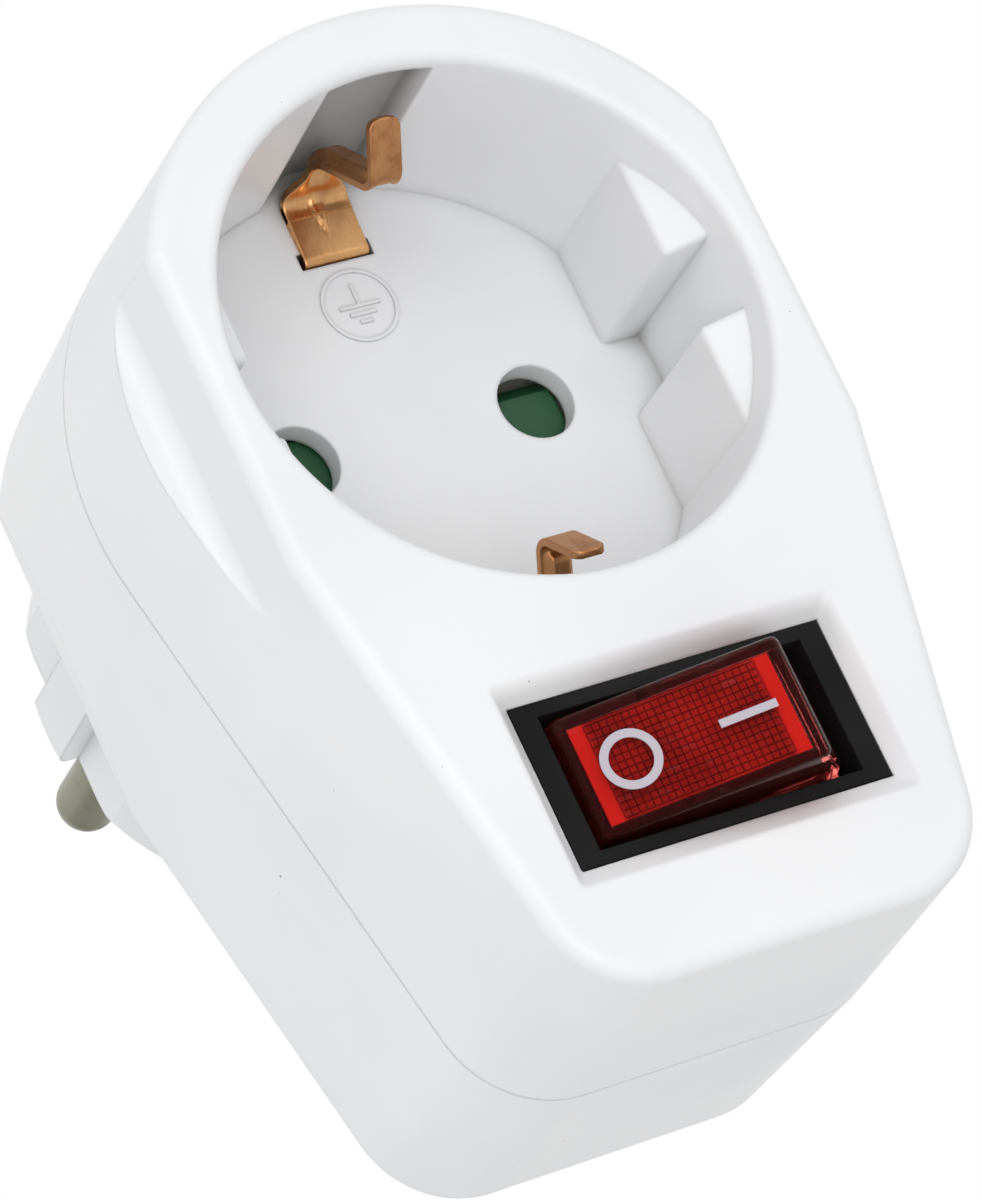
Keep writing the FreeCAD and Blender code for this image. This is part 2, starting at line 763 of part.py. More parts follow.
def lip_ring(name, inset, height, clear):
    """The ring that laps the two shells at the parting plane, open at the screw bosses."""
    outside = casing_block(name + "_outside", inset, "parting", height, "front_draft", True)
    inside = casing_block(name + "_inside", "shell_wall", "parting", height, "front_draft", True)
    gaps = at_bosses(name + "_gap", f"boss_radius + {clear}", None, "parting + overrun")
    return cut(name, outside, [inside] + gaps)


rebate = lip_ring("rebate", "shell_wall / 2", "lip_height + lip_gap", "0")
front_cut = cut("front_cut", front_rimmed, pin_entries + clip_slots + clip_recesses
                + [well_soft, flange_seat, switch_opening, rebate] + pilot_holes)
well_top = value("-switch_drop + well_half_z") + NEAR
well_side = value("well_half_x") + NEAR
front_welled = rounded("front_welled", front_cut, "well_rim_round",
                       lambda box: level(box, "front_face") and box.ZMax < well_top
                       and max(box.XMax, -box.XMin) < well_side)
rib_start = value("rib_gap_half")
rib_lead = value("front_face + rib_top + rib_slope")


def rib_edge(box):
    """Whether an edge of a rib bounds its gap side or the head of its inner face."""
    gap_side = box.ZLength < NEAR and abs(abs(box.ZMax) - rib_start) < NEAR
    standing = box.YLength > NEAR and box.YMin < rib_lead + NEAR
    head = abs(box.YMin - rib_lead) < NEAR and abs(box.YMax - rib_lead) < NEAR
    return (gap_side and standing) or head


cup_ribs = []
for tag, side in SIDES:
    for end, up in ENDS:
        low, high = span(up, "rib_gap_half", "cup_radius")
        profile = [(signed(side, "rib_face"), "cup_floor"),
                   (signed(side, "rib_face"), "front_face + rib_top + rib_slope"),
                   (signed(side, "cup_radius + cup_wall"), "front_face + rib_top"),
                   (signed(side, "cup_radius + cup_wall"), "cup_floor")]
        rib = slab(f"cup_rib_{end}_{tag}", "xy", profile, (low, high))
        limit = rod(f"cup_rib_limit_{end}_{tag}", "y", "cup_radius + cup_wall / 2", CENTRE,
                    ("front_face", "cup_floor"))
        fitted = common(f"cup_rib_fitted_{end}_{tag}", [rib, limit])
        cup_ribs.append(rounded(f"cup_rib_soft_{end}_{tag}", fitted, "rib_round", rib_edge))
mark_top = ("cup_floor - earth_mark_relief", "cup_floor + floor_thickness / 2")
earth_mark = [
    tube("earth_mark_ring", "y", "earth_mark_radius", "earth_mark_radius - earth_mark_line",
         ("0", "earth_mark_height"), mark_top),
    block("earth_mark_stem", around("0", "earth_mark_line / 2"), mark_top,
          ("earth_mark_height", "earth_mark_height + earth_mark_stem")),
]
for number, half in enumerate(("earth_bar_long", "earth_bar_middle", "earth_bar_short")):
    place = f"earth_mark_height - earth_bar_step * {number}"
    earth_mark.append(block(f"earth_mark_bar_{number}", around("0", half), mark_top,
                            around(place, "earth_mark_line / 2")))
node("front_shell", fuse("front_done", [front_welled, shutter_ring] + cup_ribs + earth_mark))

# Rear shell


def grip(name, side, inset):
    """The wedge that a finger grip takes off the back corner of the casing."""
    edge = f"body_radius - grip_bite - {inset}"
    flat = f"flat_half_width - {inset}"
    far = "body_radius + casing_reach"
    points = [(signed(side, edge), "-grip_start"), (signed(side, flat), "0"),
              (signed(side, flat), "overrun"), (signed(side, far), "overrun"),
              (signed(side, far), "-grip_start")]
    return slab(name, "xy", points, ("-bottom_drop", "body_radius"))


rear_block = casing_block("rear_block", "0", "parting", "body_depth - front_depth", "rear_draft", False)
rear_soft = rounded("rear_soft", rear_block, "back_round", lambda box: box.YMin > -NEAR)
rear_room = casing_block("rear_room", "shell_wall", "parting", "body_depth - front_depth - back_wall",
                         "rear_draft", False)
rear_room_gripped = cut("rear_room_gripped", rear_room,
                        [grip(f"grip_inside_{tag}", side, "shell_wall") for tag, side in SIDES])
rear_skin = cut("rear_skin", rear_soft,
                [rear_room_gripped] + [grip(f"grip_{tag}", side, "0") for tag, side in SIDES])
plug_barrel = cone("plug_barrel", "y", "plug_radius", "plug_end_radius", CENTRE, ("0", "plug_depth"))
plug_soft = rounded("plug_soft", plug_barrel, "plug_round", lambda box: level(box, "plug_depth"))
rear_bosses = at_bosses("rear_boss", "boss_radius", "floor_back + joint_gap", "-back_round")
keeper = cut("keeper", tube("keeper_tube", "y", "plug_bore + keeper_wall", "plug_bore", CENTRE,
                            ("carrier_back + keeper_gap", "-back_wall / 2")), [
    block("keeper_opening", around("0", "keeper_open_half"), ("carrier_back", "-back_wall"),
          ("-plug_radius", "0")),
    block("keeper_notch", around("0", "keeper_notch_half"), ("carrier_back", "-back_wall"),
          ("0", "plug_radius")),
])
lip = lip_ring("lip", "shell_wall / 2 + lip_gap", "lip_height", "boss_gap")
rear_filled = fuse("rear_filled", [rear_skin, plug_soft, keeper, lip] + rear_bosses)
plug_notches = [
    block(f"plug_notch_{end}_{tag}", span(side, "plug_notch_face", "plug_radius + overrun"),
          ("0", "plug_depth + overrun"), span(up, "plug_ridge_half", "plug_notch_end"))
    for tag, side in SIDES for end, up in ENDS
]
plug_grooves = [
    block(f"plug_groove_{end}", around("0", "groove_half"), ("0", "plug_depth + overrun"),
          span(up, "groove_floor", "plug_radius + overrun"))
    for end, up in ENDS
]
earth_slots = [
    block(f"earth_slot_{end}", around("0", "plug_earth_half + plug_earth_slot"),
          ("-back_wall - overrun", "overrun"),
          span(up, "plug_earth_seat - strip / 2 - plug_earth_slot",
               "plug_earth_seat + strip / 2 + plug_earth_slot"))
    for end, up in ENDS
]
plug_hollow = rod("plug_hollow", "y", "plug_bore", CENTRE, ("-back_wall - overrun", "plug_face_inside"))
pin_holes = [
    rod(f"pin_hole_{tag}", "y", "pin_seat_radius + pin_fit", (signed(side, "pin_place"), "0"),
        ("plug_face_inside - overrun", "plug_depth + overrun"))
    for tag, side in SIDES
]
rear_cuts = plug_notches + plug_grooves + earth_slots + pin_holes + [plug_hollow]
rear_cuts += at_bosses("screw_hole", "screw_radius + screw_clearance", "parting - overrun", "0")
rear_cuts += at_bosses("counterbore", "screw_head_radius + screw_clearance", "counterbore_floor", "overrun")
node("rear_shell", cut("rear_done", rear_filled, rear_cuts))

# Screws that close the casing

screws = []
for tag, x, z, start in BOSSES:
    head_top = "counterbore_floor + screw_head_height"
    solid = fuse(f"screw_blank_{tag}", [
        rod(f"screw_head_{tag}", "y", "screw_head_radius", (x, z), ("counterbore_floor", head_top)),
        rod(f"screw_shank_{tag}", "y", "screw_radius - pin_fit", (x, z),
            ("screw_end + screw_tip", "counterbore_floor")),
        cone(f"screw_point_{tag}", "y", "screw_tip_radius", "screw_radius - pin_fit", (x, z),
             ("screw_end", "screw_end + screw_tip")),
    ])
    recess = (f"{head_top} - screw_cross_depth", f"{head_top} + overrun")
    cross = [
        block(f"screw_cross_level_{tag}", around(x, "screw_cross_half"), recess,
              around(z, "screw_cross / 2")),
        block(f"screw_cross_upright_{tag}", around(x, "screw_cross / 2"), recess,
              around(z, "screw_cross_half")),
    ]
    screws.append(cut(f"screw_{tag}", solid, cross))
screw_set = doc.addObject("Part::Compound", "screw_set")
screw_set.Links = screws
node("housing_screws", screw_set)

# Socket contacts and the rings that squeeze them

for label, tag, side in (("live", "left", -1), ("neutral", "right", 1)):
    here = signed(side, "pin_place")
    path = [(f"{here} - jaw_mouth", "jaw_front"), (f"{here} - jaw_waist", "jaw_front + jaw_lead"),
            (f"{here} - jaw_root", "contact_plane"), (f"{here} + jaw_root", "contact_plane"),
            (f"{here} + jaw_waist", "jaw_front + jaw_lead"), (f"{here} + jaw_mouth", "jaw_front")]
    node(f"{label}_contact", strip(f"{label}_jaws", "xy", path, "strip", around("0", "jaw_half_width")))
    ring = ("clamp_front", "clamp_front + clamp_height")
    inside_x = "jaw_root + strip / 2 + clamp_play"
    inside_z = "jaw_half_width + clamp_play"
    hoop = block(f"{label}_hoop", around(here, f"{inside_x} + clamp_wire"), ring,
                 around("0", f"{inside_z} + clamp_wire"))
    hoop_hole = block(f"{label}_hoop_hole", around(here, inside_x),
                      (f"{ring[0]} - overrun", f"{ring[1]} + overrun"), around("0", inside_z))
    node(f"{label}_contact_clamp", cut(f"{label}_clamp", hoop, [hoop_hole]))

# Contact carrier behind the cup floor

carrier_disc = rod("carrier_disc", "y", "carrier_radius", CENTRE, ("carrier_front", "carrier_back"))
cells = []
for tag, side in SIDES:
    here = signed(side, "pin_place")
    wall = block(f"cell_wall_{tag}", around(here, "cell_half_x + cell_wall"), ("carrier_back", "cell_back"),
                 around("0", "cell_half_z + cell_wall"))
    limit = rod(f"cell_limit_{tag}", "y", "plug_bore - keeper_gap * 2", CENTRE,
                ("carrier_back", "cell_back"))
    room = block(f"cell_room_{tag}", around(here, "cell_half_x"), ("carrier_back", "cell_back + overrun"),
                 around("0", "cell_half_z"))
    cells.append(cut(f"cell_{tag}", common(f"cell_fitted_{tag}", [wall, limit]), [room]))
carrier_post = rod("carrier_post", "y", "post_radius", CENTRE, ("floor_back + post_gap", "carrier_front"))
leg_notches = [
    block(f"leg_notch_{end}", around("0", "earth_half_width + clip_slot"),
          ("carrier_front - overrun", "carrier_back + overrun"),
          span(up, "earth_foot - clip_slot", "carrier_radius + overrun"))
    for end, up in ENDS
]
carrier_holes = [
    rod(f"carrier_hole_{tag}", "y", "pin_hole_radius", (signed(side, "pin_place"), "0"),
        ("carrier_front - overrun", "carrier_back + overrun"))
    for tag, side in SIDES
]
spring_recess = tube("spring_recess", "y", "spring_coil + spring_room", "post_radius", CENTRE,
                     ("carrier_front", "carrier_front + spring_depth"))
carrier_plate = cut("carrier_plate", carrier_disc, leg_notches + carrier_holes + [spring_recess])
node("contact_carrier", fuse("carrier", [carrier_plate, carrier_post] + cells))

# Child-proof shutter and its return spring

wing_profile = [("-shutter_reach", "-shutter_half_width"), ("shutter_reach", "-shutter_half_width"),
                ("shutter_reach", "shutter_half_width"), ("-shutter_reach", "shutter_half_width")]
wings = common("shutter_wings", [
    slab("shutter_bar", "xz", wing_profile, ("shutter_front", "shutter_back")),
    rod("shutter_sweep", "y", "shutter_reach", CENTRE, ("shutter_front", "shutter_back")),
])
shutter_hub = rod("shutter_hub_disc", "y", "shutter_hub", CENTRE, ("shutter_front", "shutter_back"))
shutter_hole = rod("shutter_hole", "y", "post_radius + post_fit", CENTRE,
                   ("shutter_front - overrun", "shutter_back + overrun"))
shutter_ramps = []
for tag, side in SIDES:
    edge = signed(side, "shutter_half_width")
    inner = signed(side, "shutter_half_width - shutter_bevel")
    ramp = [("shutter_front", inner), ("shutter_front", edge), ("shutter_front + shutter_bevel", edge)]
    shutter_ramps.append(slab(f"shutter_ramp_{tag}", "yz", ramp,
                              span(side, "shutter_hub + overrun", "shutter_reach + overrun")))
shutter_blank = fuse("shutter_blank", [wings, shutter_hub])
node("shutter", cut("shutter_rotor", shutter_blank, [shutter_hole] + shutter_ramps))


def tangent_arc(start, corner, stop):
    """The arc from start to stop whose end tangents meet at the corner."""
    middle = (start + stop) * 0.5
    rise = corner - middle
    half = start.distanceToPoint(stop) / 2
    angle = math.atan2(rise.Length, half)
    return Part.Arc(start, middle + rise * (half * math.tan(angle / 2) / rise.Length), stop).toShape()


def coil(name, radius, wire, centre, ends, turns):
    """A round-wire coil whose axis runs front to back, drawn as tangent arcs."""
    mean, thick, count = value(radius), value(wire), value(turns)
    start, stop = value(ends[0]) + thick / 2, value(ends[1]) - thick / 2
    rise = (stop - start) / count
    arcs = []
    for k in range(round(count * 4)):
        spots = []
        for turn in (k / 4, (k + 1) / 4):
            angle = 2 * math.pi * turn
            place = FreeCAD.Vector(mean * math.cos(angle), start + rise * turn, mean * math.sin(angle))
            way = FreeCAD.Vector(-mean * math.sin(angle), rise / (2 * math.pi), mean * math.cos(angle))
            spots.append((place, way.normalize()))
        (first, out), (last, into) = spots
        chord = last - first
        slope = chord.dot(out + into)
        bend = 2 * (1 - out.dot(into))
        reach = (math.sqrt(slope ** 2 + bend * chord.dot(chord)) - slope) / bend
        join = (first + last + (out - into) * reach) * 0.5
        arcs.append(tangent_arc(first, first + out * reach, join))
        arcs.append(tangent_arc(join, last - into * reach, last))
    place = arcs[0].valueAt(arcs[0].FirstParameter)
    along = arcs[0].tangentAt(arcs[0].FirstParameter)
    shell = Part.BRepOffsetAPI.MakePipeShell(Part.Wire(arcs))
    shell.add(Part.Wire([Part.Circle(place, along, thick / 2).toShape()]))
    shell.build()
    shell.makeSolid()
    item = doc.addObject("Part::Feature", name)
    item.Shape = shell.shape()
    item.setExpression("Placement.Base.x", bound(centre[0]))
    item.setExpression("Placement.Base.z", bound(centre[1]))
    return item


node("shutter_spring", coil("shutter_coil", "spring_coil", "spring_wire", CENTRE,
                            ("carrier_front + spring_gap", "carrier_front + spring_depth - spring_gap"),
                            "spring_turns"))

# Earth path: strap behind the floor, clips in the cup, spring contacts on the plug

strap_path = [("clip_plane", "clip_root - clip_play"), ("clip_plane", "strap_leg"),
              ("strap_plane", "strap_leg"), ("strap_plane", "-strap_leg"),
              ("clip_plane", "-strap_leg"), ("clip_plane", "-(clip_root - clip_play)")]
node("earth_strap", strip("strap", "yz", strap_path, "strip", around("0", "earth_half_width")))
for end, up in ENDS:
    finger_path = [("clip_plane", signed(up, "clip_pivot")),
                   ("clip_shoulder_y", signed(up, "clip_shoulder")),
                   ("clip_nose_y", signed(up, "clip_nose")),
                   ("clip_tip_y", signed(up, "clip_tip"))]
    finger = strip(f"{end}_finger", "yz", finger_path, "strip", around("0", "earth_half_width"))
    root_roll = rod(f"{end}_finger_root", "x", "strip / 2", ("clip_plane", signed(up, "clip_pivot")),
                    around("0", "earth_half_width"))
    blank = [("earth_half_width", "cup_floor + overrun"), ("earth_half_width", "clip_plane - strip"),
             ("clip_finger_half", "clip_shoulder_y"), ("clip_finger_half", "clip_tip_y")]
    outline = blank + [(f"-({x})", y) for x, y in reversed(blank)]
    trim = slab(f"{end}_finger_trim", "xy", outline,
                span(up, "clip_nose - overrun", "clip_shoulder + overrun"), [((3, 4), "clip_tip_round")])
    whole = fuse(f"{end}_finger_whole", [finger, root_roll])
    node(f"{end}_earth_clip", common(f"{end}_clip", [whole, trim]))
    tail_path = [("strap_plane", signed(up, "earth_foot + strip + joint_gap")),
                 ("strap_plane", signed(up, "plug_earth_seat")), ("0", signed(up, "plug_earth_seat")),
                 ("plug_earth_rise", signed(up, "plug_earth_bow")),
                 ("plug_earth_end", signed(up, "plug_earth_seat - plug_earth_slot"))]
    node(f"{end}_plug_earth_contact", strip(f"{end}_plug_earth", "yz", tail_path, "strip",
                                            around("0", "plug_earth_half")))

# Plug pins, the insulating bridge over their collars

for label, side in (("live", -1), ("neutral", 1)):
    here = (signed(side, "pin_place"), "0")
    tip = "plug_depth + pin_length - pin_radius"
    shaft = rod(f"{label}_pin_shaft", "y", "pin_radius", here, ("plug_face_inside", tip))
    dome = ball(f"{label}_pin_dome", "pin_radius", (here[0], tip, "0"))
    seat = rod(f"{label}_pin_seat", "y", "pin_seat_radius", here,
               ("plug_face_inside", "plug_depth + pin_seat_rise"))
    collar = rod(f"{label}_pin_collar", "y", "pin_collar_radius", here,
                 ("collar_front", "plug_face_inside"))
    tail = rod(f"{label}_pin_tail", "y", "pin_tail_radius", here, ("tail_end", "collar_front"))
    node(f"{label}_pin", fuse(f"{label}_pin_turned", [shaft, dome, seat, collar, tail]))
bridge_disc = rod("bridge_disc", "y", "plug_bore - keeper_gap * 2", CENTRE, ("bridge_front", "bridge_back"))
bridge_holes = [
    rod(f"bridge_hole_{tag}", "y", "pin_tail_radius + pin_fit", (signed(side, "pin_place"), "0"),
        ("bridge_front - overrun", "bridge_back + overrun"))
    for tag, side in SIDES
]
node("pin_bridge", cut("bridge", bridge_disc, bridge_holes))

# Current strips


def tag_plate(name, side, inner):
    """The plate riveted to a pin's tail, with its hole."""
    plate = block(name + "_plate", span(side, inner, "pin_place + tag_reach"),
                  around("tag_plane", "strip / 2"), around("0", "tag_half_width"))
    hole = rod(name + "_hole", "y", "pin_tail_radius + pin_fit", (signed(side, "pin_place"), "0"),
               around("tag_plane", "strip"))
    return plate, hole


supply_plate, supply_hole = tag_plate("supply_tag", -1, "supply_bus_place - supply_bus_half")
supply_path = [("tag_plane", "0"), ("tag_plane", "-supply_bus_drop"), ("supply_plane", "-supply_bus_drop"),
               ("supply_plane", "lap_plane")]
supply_run = strip("supply_run", "yz", supply_path, "strip", around("-supply_bus_place", "supply_bus_half"))
supply_foot = block("supply_foot", ("-supply_bus_place - supply_bus_half", "bus_half_width"),
                    ("shift_plane", "supply_plane + strip / 2"), around("lap_plane", "strip / 2"))
supply_lap = block("supply_lap", around("0", "bus_half_width"), ("lap_end", "shift_plane"),
                   around("lap_plane", "strip / 2"))
supply_solid = fuse("supply_solid", [supply_plate, supply_run, supply_foot, supply_lap])
node("supply_strip", cut("supply", supply_solid, [supply_hole]))
for label, side in (("load_strip", -1), ("lamp_strip", 1)):
    path = [("contact_plane", "-jaw_half_width - joint_gap"), ("contact_plane", "-bus_drop"),
            ("load_plane", "-bus_drop"), ("load_plane", "lap_plane"), ("lap_end", "lap_plane")]
    width = around(signed(side, "terminal_place"), "bus_half_width")
    node(label, strip(label + "_run", "yz", path, "strip", width))
neutral_plate, neutral_hole = tag_plate("neutral_tag", 1, "neutral_bus_place - strip / 2")
neutral_run = strip("neutral_run", "xy", [
    ("pin_place", "tag_plane"), ("neutral_bus_place", "tag_plane"), ("neutral_bus_place", "contact_plane"),
    ("pin_place - jaw_root - strip / 2 - joint_gap", "contact_plane"),
], "strip", around("0", "bus_half_width"))
neutral_solid = fuse("neutral_solid", [neutral_plate, neutral_run])
node("neutral_strip", cut("neutral", neutral_solid, [neutral_hole]))

# Switch housing and its three terminals

housing_frame = block("housing_frame", around("0", "frame_half_x"), ("frame_face", "frame_back"),
                      around("switch_z", "frame_half_z"))
housing_box = block("housing_box", around("0", "switch_half_x"), ("frame_face", "switch_back"),
                    around("switch_z", "switch_half_z"))
snap_start = "frame_back + frame_ledge + switch_gap"
snaps = [
    slab(f"snap_{tag}", "xy", [(signed(side, "switch_half_x - snap_root"), snap_start),
                               (signed(side, "switch_half_x + snap_reach"), snap_start),
                               (signed(side, "switch_half_x - snap_root"), f"{snap_start} + snap_length")],
         around("switch_z", "snap_half_width"))
    for tag, side in SIDES
]
window = block("window", around("0", "window_half_x"), ("frame_face - overrun", "switch_floor_front"),
               around("switch_z", "window_half_z"))
trunnion_bore = rod("trunnion_bore", "z", "trunnion_radius + trunnion_fit", ("0", "pivot_y"),
                    around("switch_z", "switch_half_z + overrun"))
TERMINALS = (("load", "-terminal_place"), ("supply", "0"), ("lamp", "terminal_place"))
blade_slots = [
    block(f"{label}_slot", around(here, "blade_half_width + post_fit"),
          ("switch_floor_front - overrun", "switch_back + overrun"),
          around("switch_z", "blade_thickness / 2 + post_fit"))
    for label, here in TERMINALS
]
housing_solid = fuse("housing_solid", [housing_frame, housing_box] + snaps)
node("switch_housing", cut("housing", housing_solid, [window, trunnion_bore] + blade_slots))
for label, here in TERMINALS:
    blade = block(f"{label}_blade", around(here, "blade_half_width"), ("pad_front", "blade_end"),
                  around("switch_z", "blade_thickness / 2"))
    pad = block(f"{label}_pad", around(here, "blade_half_width"), ("pad_front", "switch_floor_front"),
                around("switch_z", "arm_half_width"))
    pieces = [blade, pad]
    if label == "load":
        pieces.append(rod("load_rivet", "y", "rivet_radius", (here, "switch_z"),
                          ("pad_front - rivet_height", "pad_front")))
    if label == "supply":
        pieces.append(block("fulcrum_web", around("0", "fulcrum_radius"), ("arm_pivot", "pad_front"),
                            around("switch_z", "arm_half_width + cheek")))
        pieces.append(rod("fulcrum", "z", "fulcrum_radius", ("0", "arm_pivot"),
                          around("switch_z", "arm_half_width + cheek")))
        for end, up in ENDS:
            near = f"-switch_drop {'+' if up > 0 else '-'} (arm_half_width + fulcrum_gap)"
            far = f"-switch_drop {'+' if up > 0 else '-'} (arm_half_width + fulcrum_gap + cheek)"
            rise = ("arm_back - arm_thickness - cheek_rise", "switch_floor_front")
            pieces.append(block(f"cheek_{end}", around("0", "cheek_half"), rise,
                                (near, far) if up > 0 else (far, near)))
            inner = f"-switch_drop {'+' if up > 0 else '-'} (arm_half_width - cheek / 2)"
            pieces.append(block(f"cheek_foot_{end}", around("0", "cheek_half"),
                                ("pad_front", "switch_floor_front"),
                                (inner, far) if up > 0 else (far, inner)))
    node(f"{label}_terminal", fuse(f"{label}_terminal_solid", pieces))

# Contact arm, tilted as it lies when the switch is off

arm_bar = block("arm_bar", around("0", "arm_half_length"), ("arm_back - arm_thickness", "arm_back"),
                around("switch_z", "arm_half_width"))
node("contact_arm", turned(arm_bar, "arm_tilt", "0", "arm_pivot"))
arm_rivet_disc = rod("arm_rivet_disc", "y", "rivet_radius", ("-terminal_place", "switch_z"),
                     ("arm_back", "arm_back + rivet_height"))
arm_rivet_dome = ball("arm_rivet_dome", "rivet_dome",
                      ("-terminal_place", "arm_back + rivet_height - rivet_dome", "switch_z"))
arm_rivet_cap = common("arm_rivet_cap", [arm_rivet_disc, arm_rivet_dome])
node("arm_rivet", turned(arm_rivet_cap, "arm_tilt", "0", "arm_pivot"))

# Rocker: drawn level, then tilted as it lies when the switch is off


def tilted(item):
    return turned(item, "-rocker_tilt", "0", "pivot_y")


lens_profile = [("-lens_half_x", "lens_top"), ("lens_half_x", "lens_top"),
                ("lens_shoulder_half_x", "pivot_y - lens_shoulder"),
                ("lens_shoulder_half_x", "tray_front"), ("-lens_shoulder_half_x", "tray_front"),
                ("-lens_shoulder_half_x", "pivot_y - lens_shoulder")]
lens_room_profile = [("-lens_half_x + lens_wall", "lens_top + lens_wall"),
                     ("lens_half_x - lens_wall", "lens_top + lens_wall"),
                     ("lens_shoulder_half_x - lens_wall", "pivot_y - lens_shoulder"),
                     ("lens_shoulder_half_x - lens_wall", "tray_front + overrun"),
                     ("-lens_shoulder_half_x + lens_wall", "tray_front + overrun"),
                     ("-lens_shoulder_half_x + lens_wall", "pivot_y - lens_shoulder")]
lens_block = slab("lens_block", "xy", lens_profile, around("switch_z", "lens_half_z"),
                  [((0, 1), "lens_wall")])
lens_room = slab("lens_room", "xy", lens_room_profile, around("switch_z", "lens_half_z - lens_wall"))
lens_notch = rod("lens_notch", "z", "trunnion_radius + trunnion_fit", ("0", "pivot_y"),
                 around("switch_z", "lens_half_z + overrun"))
node("rocker_lens", tilted(cut("lens", lens_block, [lens_room, lens_notch])))
diffuser_front = "lens_top + lens_wall + joint_gap"
diffuser_plate = block("diffuser_plate", around("0", "lens_half_x - lens_wall - diffuser_play"),
                       (diffuser_front, f"{diffuser_front} + diffuser"),
                       around("switch_z", "lens_half_z - lens_wall - joint_gap"))
node("rocker_diffuser", tilted(diffuser_plate))
tray_outside = block("tray_outside", around("0", "tray_half_x"), ("tray_front", "tray_back"),
                     around("switch_z", "lens_foot_half_z"))
tray_room = block("tray_room", around("0", "tray_half_x - tray_wall"),
                  ("tray_front - overrun", "tray_floor_front"),
                  around("switch_z", "lens_foot_half_z - tray_wall"))
trunnion = rod("trunnion", "z", "trunnion_radius", ("0", "pivot_y"),
               around("switch_z", "lens_foot_half_z + trunnion_length"))
trunnion_room = block("trunnion_room", around("0", "trunnion_radius"),
                      ("tray_front - overrun", "tray_floor_front"),
                      around("switch_z", "lens_foot_half_z - tray_wall"))
plunger_tube = rod("plunger_tube", "y", "tube_radius", ("0", "switch_z"),
                   ("tray_back - tray_floor / 2", "tube_end"))
plunger_bore = rod("plunger_bore", "y", "plunger_radius + plunger_fit", ("0", "switch_z"),
                   ("tray_floor_front + plunger_roof", "tube_end + overrun"))
tray_shell = cut("tray_shell", fuse("tray_solid", [tray_outside, trunnion]), [tray_room, trunnion_room])
node("rocker_tray", tilted(cut("tray", fuse("tray_tubed", [tray_shell, plunger_tube]), [plunger_bore])))
mark_depth = ("lens_top - mark_relief", "lens_top")
ring_mark = tube("ring_mark", "y", "ring_mark_radius", "ring_mark_radius - ring_mark_line",
                 ("-ring_mark_place", "switch_z"), mark_depth)
bar_mark = block("bar_mark", around("bar_mark_place", "bar_mark_length / 2"), mark_depth,
                 around("switch_z", "bar_mark_line / 2"))
marks = doc.addObject("Part::Compound", "marks")
marks.Links = [ring_mark, bar_mark]
node("rocker_marks", tilted(marks))
for label, radius, length, offset in (("neon_lamp", "lamp_radius", "lamp_length", "lamp_offset"),
                                      ("lamp_resistor", "resistor_radius", "resistor_length",
                                       "-resistor_offset")):
    seat = (f"tray_floor_front - {radius} - joint_gap", f"switch_z + {offset}")
    bulb = rod(f"{label}_body", "x", radius, seat, around("0", f"{length} / 2"))
    leads = rod(f"{label}_leads", "x", "lead_radius", seat, around("0", f"{length} / 2 + lead_length"))
    node(label, tilted(fuse(f"{label}_whole", [bulb, leads])))
plunger_shaft = rod("plunger_shaft", "y", "plunger_radius", ("0", "switch_z"),
                    ("plunger_start", "plunger_tip - plunger_radius"))
plunger_nose = ball("plunger_nose", "plunger_radius", ("0", "plunger_tip - plunger_radius", "switch_z"))
node("rocker_plunger", tilted(fuse("plunger", [plunger_shaft, plunger_nose])))
plunger_coil = coil("plunger_coil_level", "plunger_coil", "spring_wire", ("0", "switch_z"),
                    ("tray_floor_front + plunger_roof + spring_gap", "plunger_start - spring_gap"),
                    "plunger_turns")
node("plunger_spring", tilted(plunger_coil))

# Checks on every object, then one file for each sub-part

doc.recompute()
for item in doc.Objects:
    if "Invalid" in item.State or "Error" in item.State:
        raise RuntimeError(f"{item.Name}: {item.State}")
for item in NODES:
    if item.Shape.isNull() or not item.Shape.isValid():
        raise RuntimeError(f"{item.Label} has no valid shape")
os.makedirs("parts", exist_ok=True)
for item in NODES:
    item.Shape.exportStep(f"parts/{item.Label}.step")
    print(item.Label, len(item.Shape.Solids), round(item.Shape.Volume, 2))
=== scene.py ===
"""Dresses the packed switched plug adapter: finishes, pressed earth contacts, rocker window and stage."""

import json
import math

import bmesh
import bpy
from bpy.props import FloatProperty, FloatVectorProperty, PointerProperty
from mathutils import Euler, Matrix, Vector


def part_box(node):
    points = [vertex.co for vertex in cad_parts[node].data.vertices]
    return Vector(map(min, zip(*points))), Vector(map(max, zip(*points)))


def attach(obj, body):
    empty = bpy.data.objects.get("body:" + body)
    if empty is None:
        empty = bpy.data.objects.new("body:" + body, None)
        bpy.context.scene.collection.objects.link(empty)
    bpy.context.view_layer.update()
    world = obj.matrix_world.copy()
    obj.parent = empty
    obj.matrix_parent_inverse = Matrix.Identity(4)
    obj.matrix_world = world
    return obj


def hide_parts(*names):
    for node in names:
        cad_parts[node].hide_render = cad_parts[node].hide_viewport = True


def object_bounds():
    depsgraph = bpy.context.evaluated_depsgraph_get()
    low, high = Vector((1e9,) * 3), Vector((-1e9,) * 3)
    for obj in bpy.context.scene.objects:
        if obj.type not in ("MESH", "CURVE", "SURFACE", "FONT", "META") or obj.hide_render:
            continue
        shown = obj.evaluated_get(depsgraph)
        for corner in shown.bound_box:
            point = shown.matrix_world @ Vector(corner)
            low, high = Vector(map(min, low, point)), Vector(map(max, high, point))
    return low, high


bl_info = {
    "name": "Switched Plug Adapter",
    "version": (1, 0, 0),
    "blender": (4, 5, 0),
    "location": "3D View > Sidebar > Adapter",
    "description": "Finishes, pressed contacts, rocker window and stage for a switched plug adapter",
    "category": "Object",
}

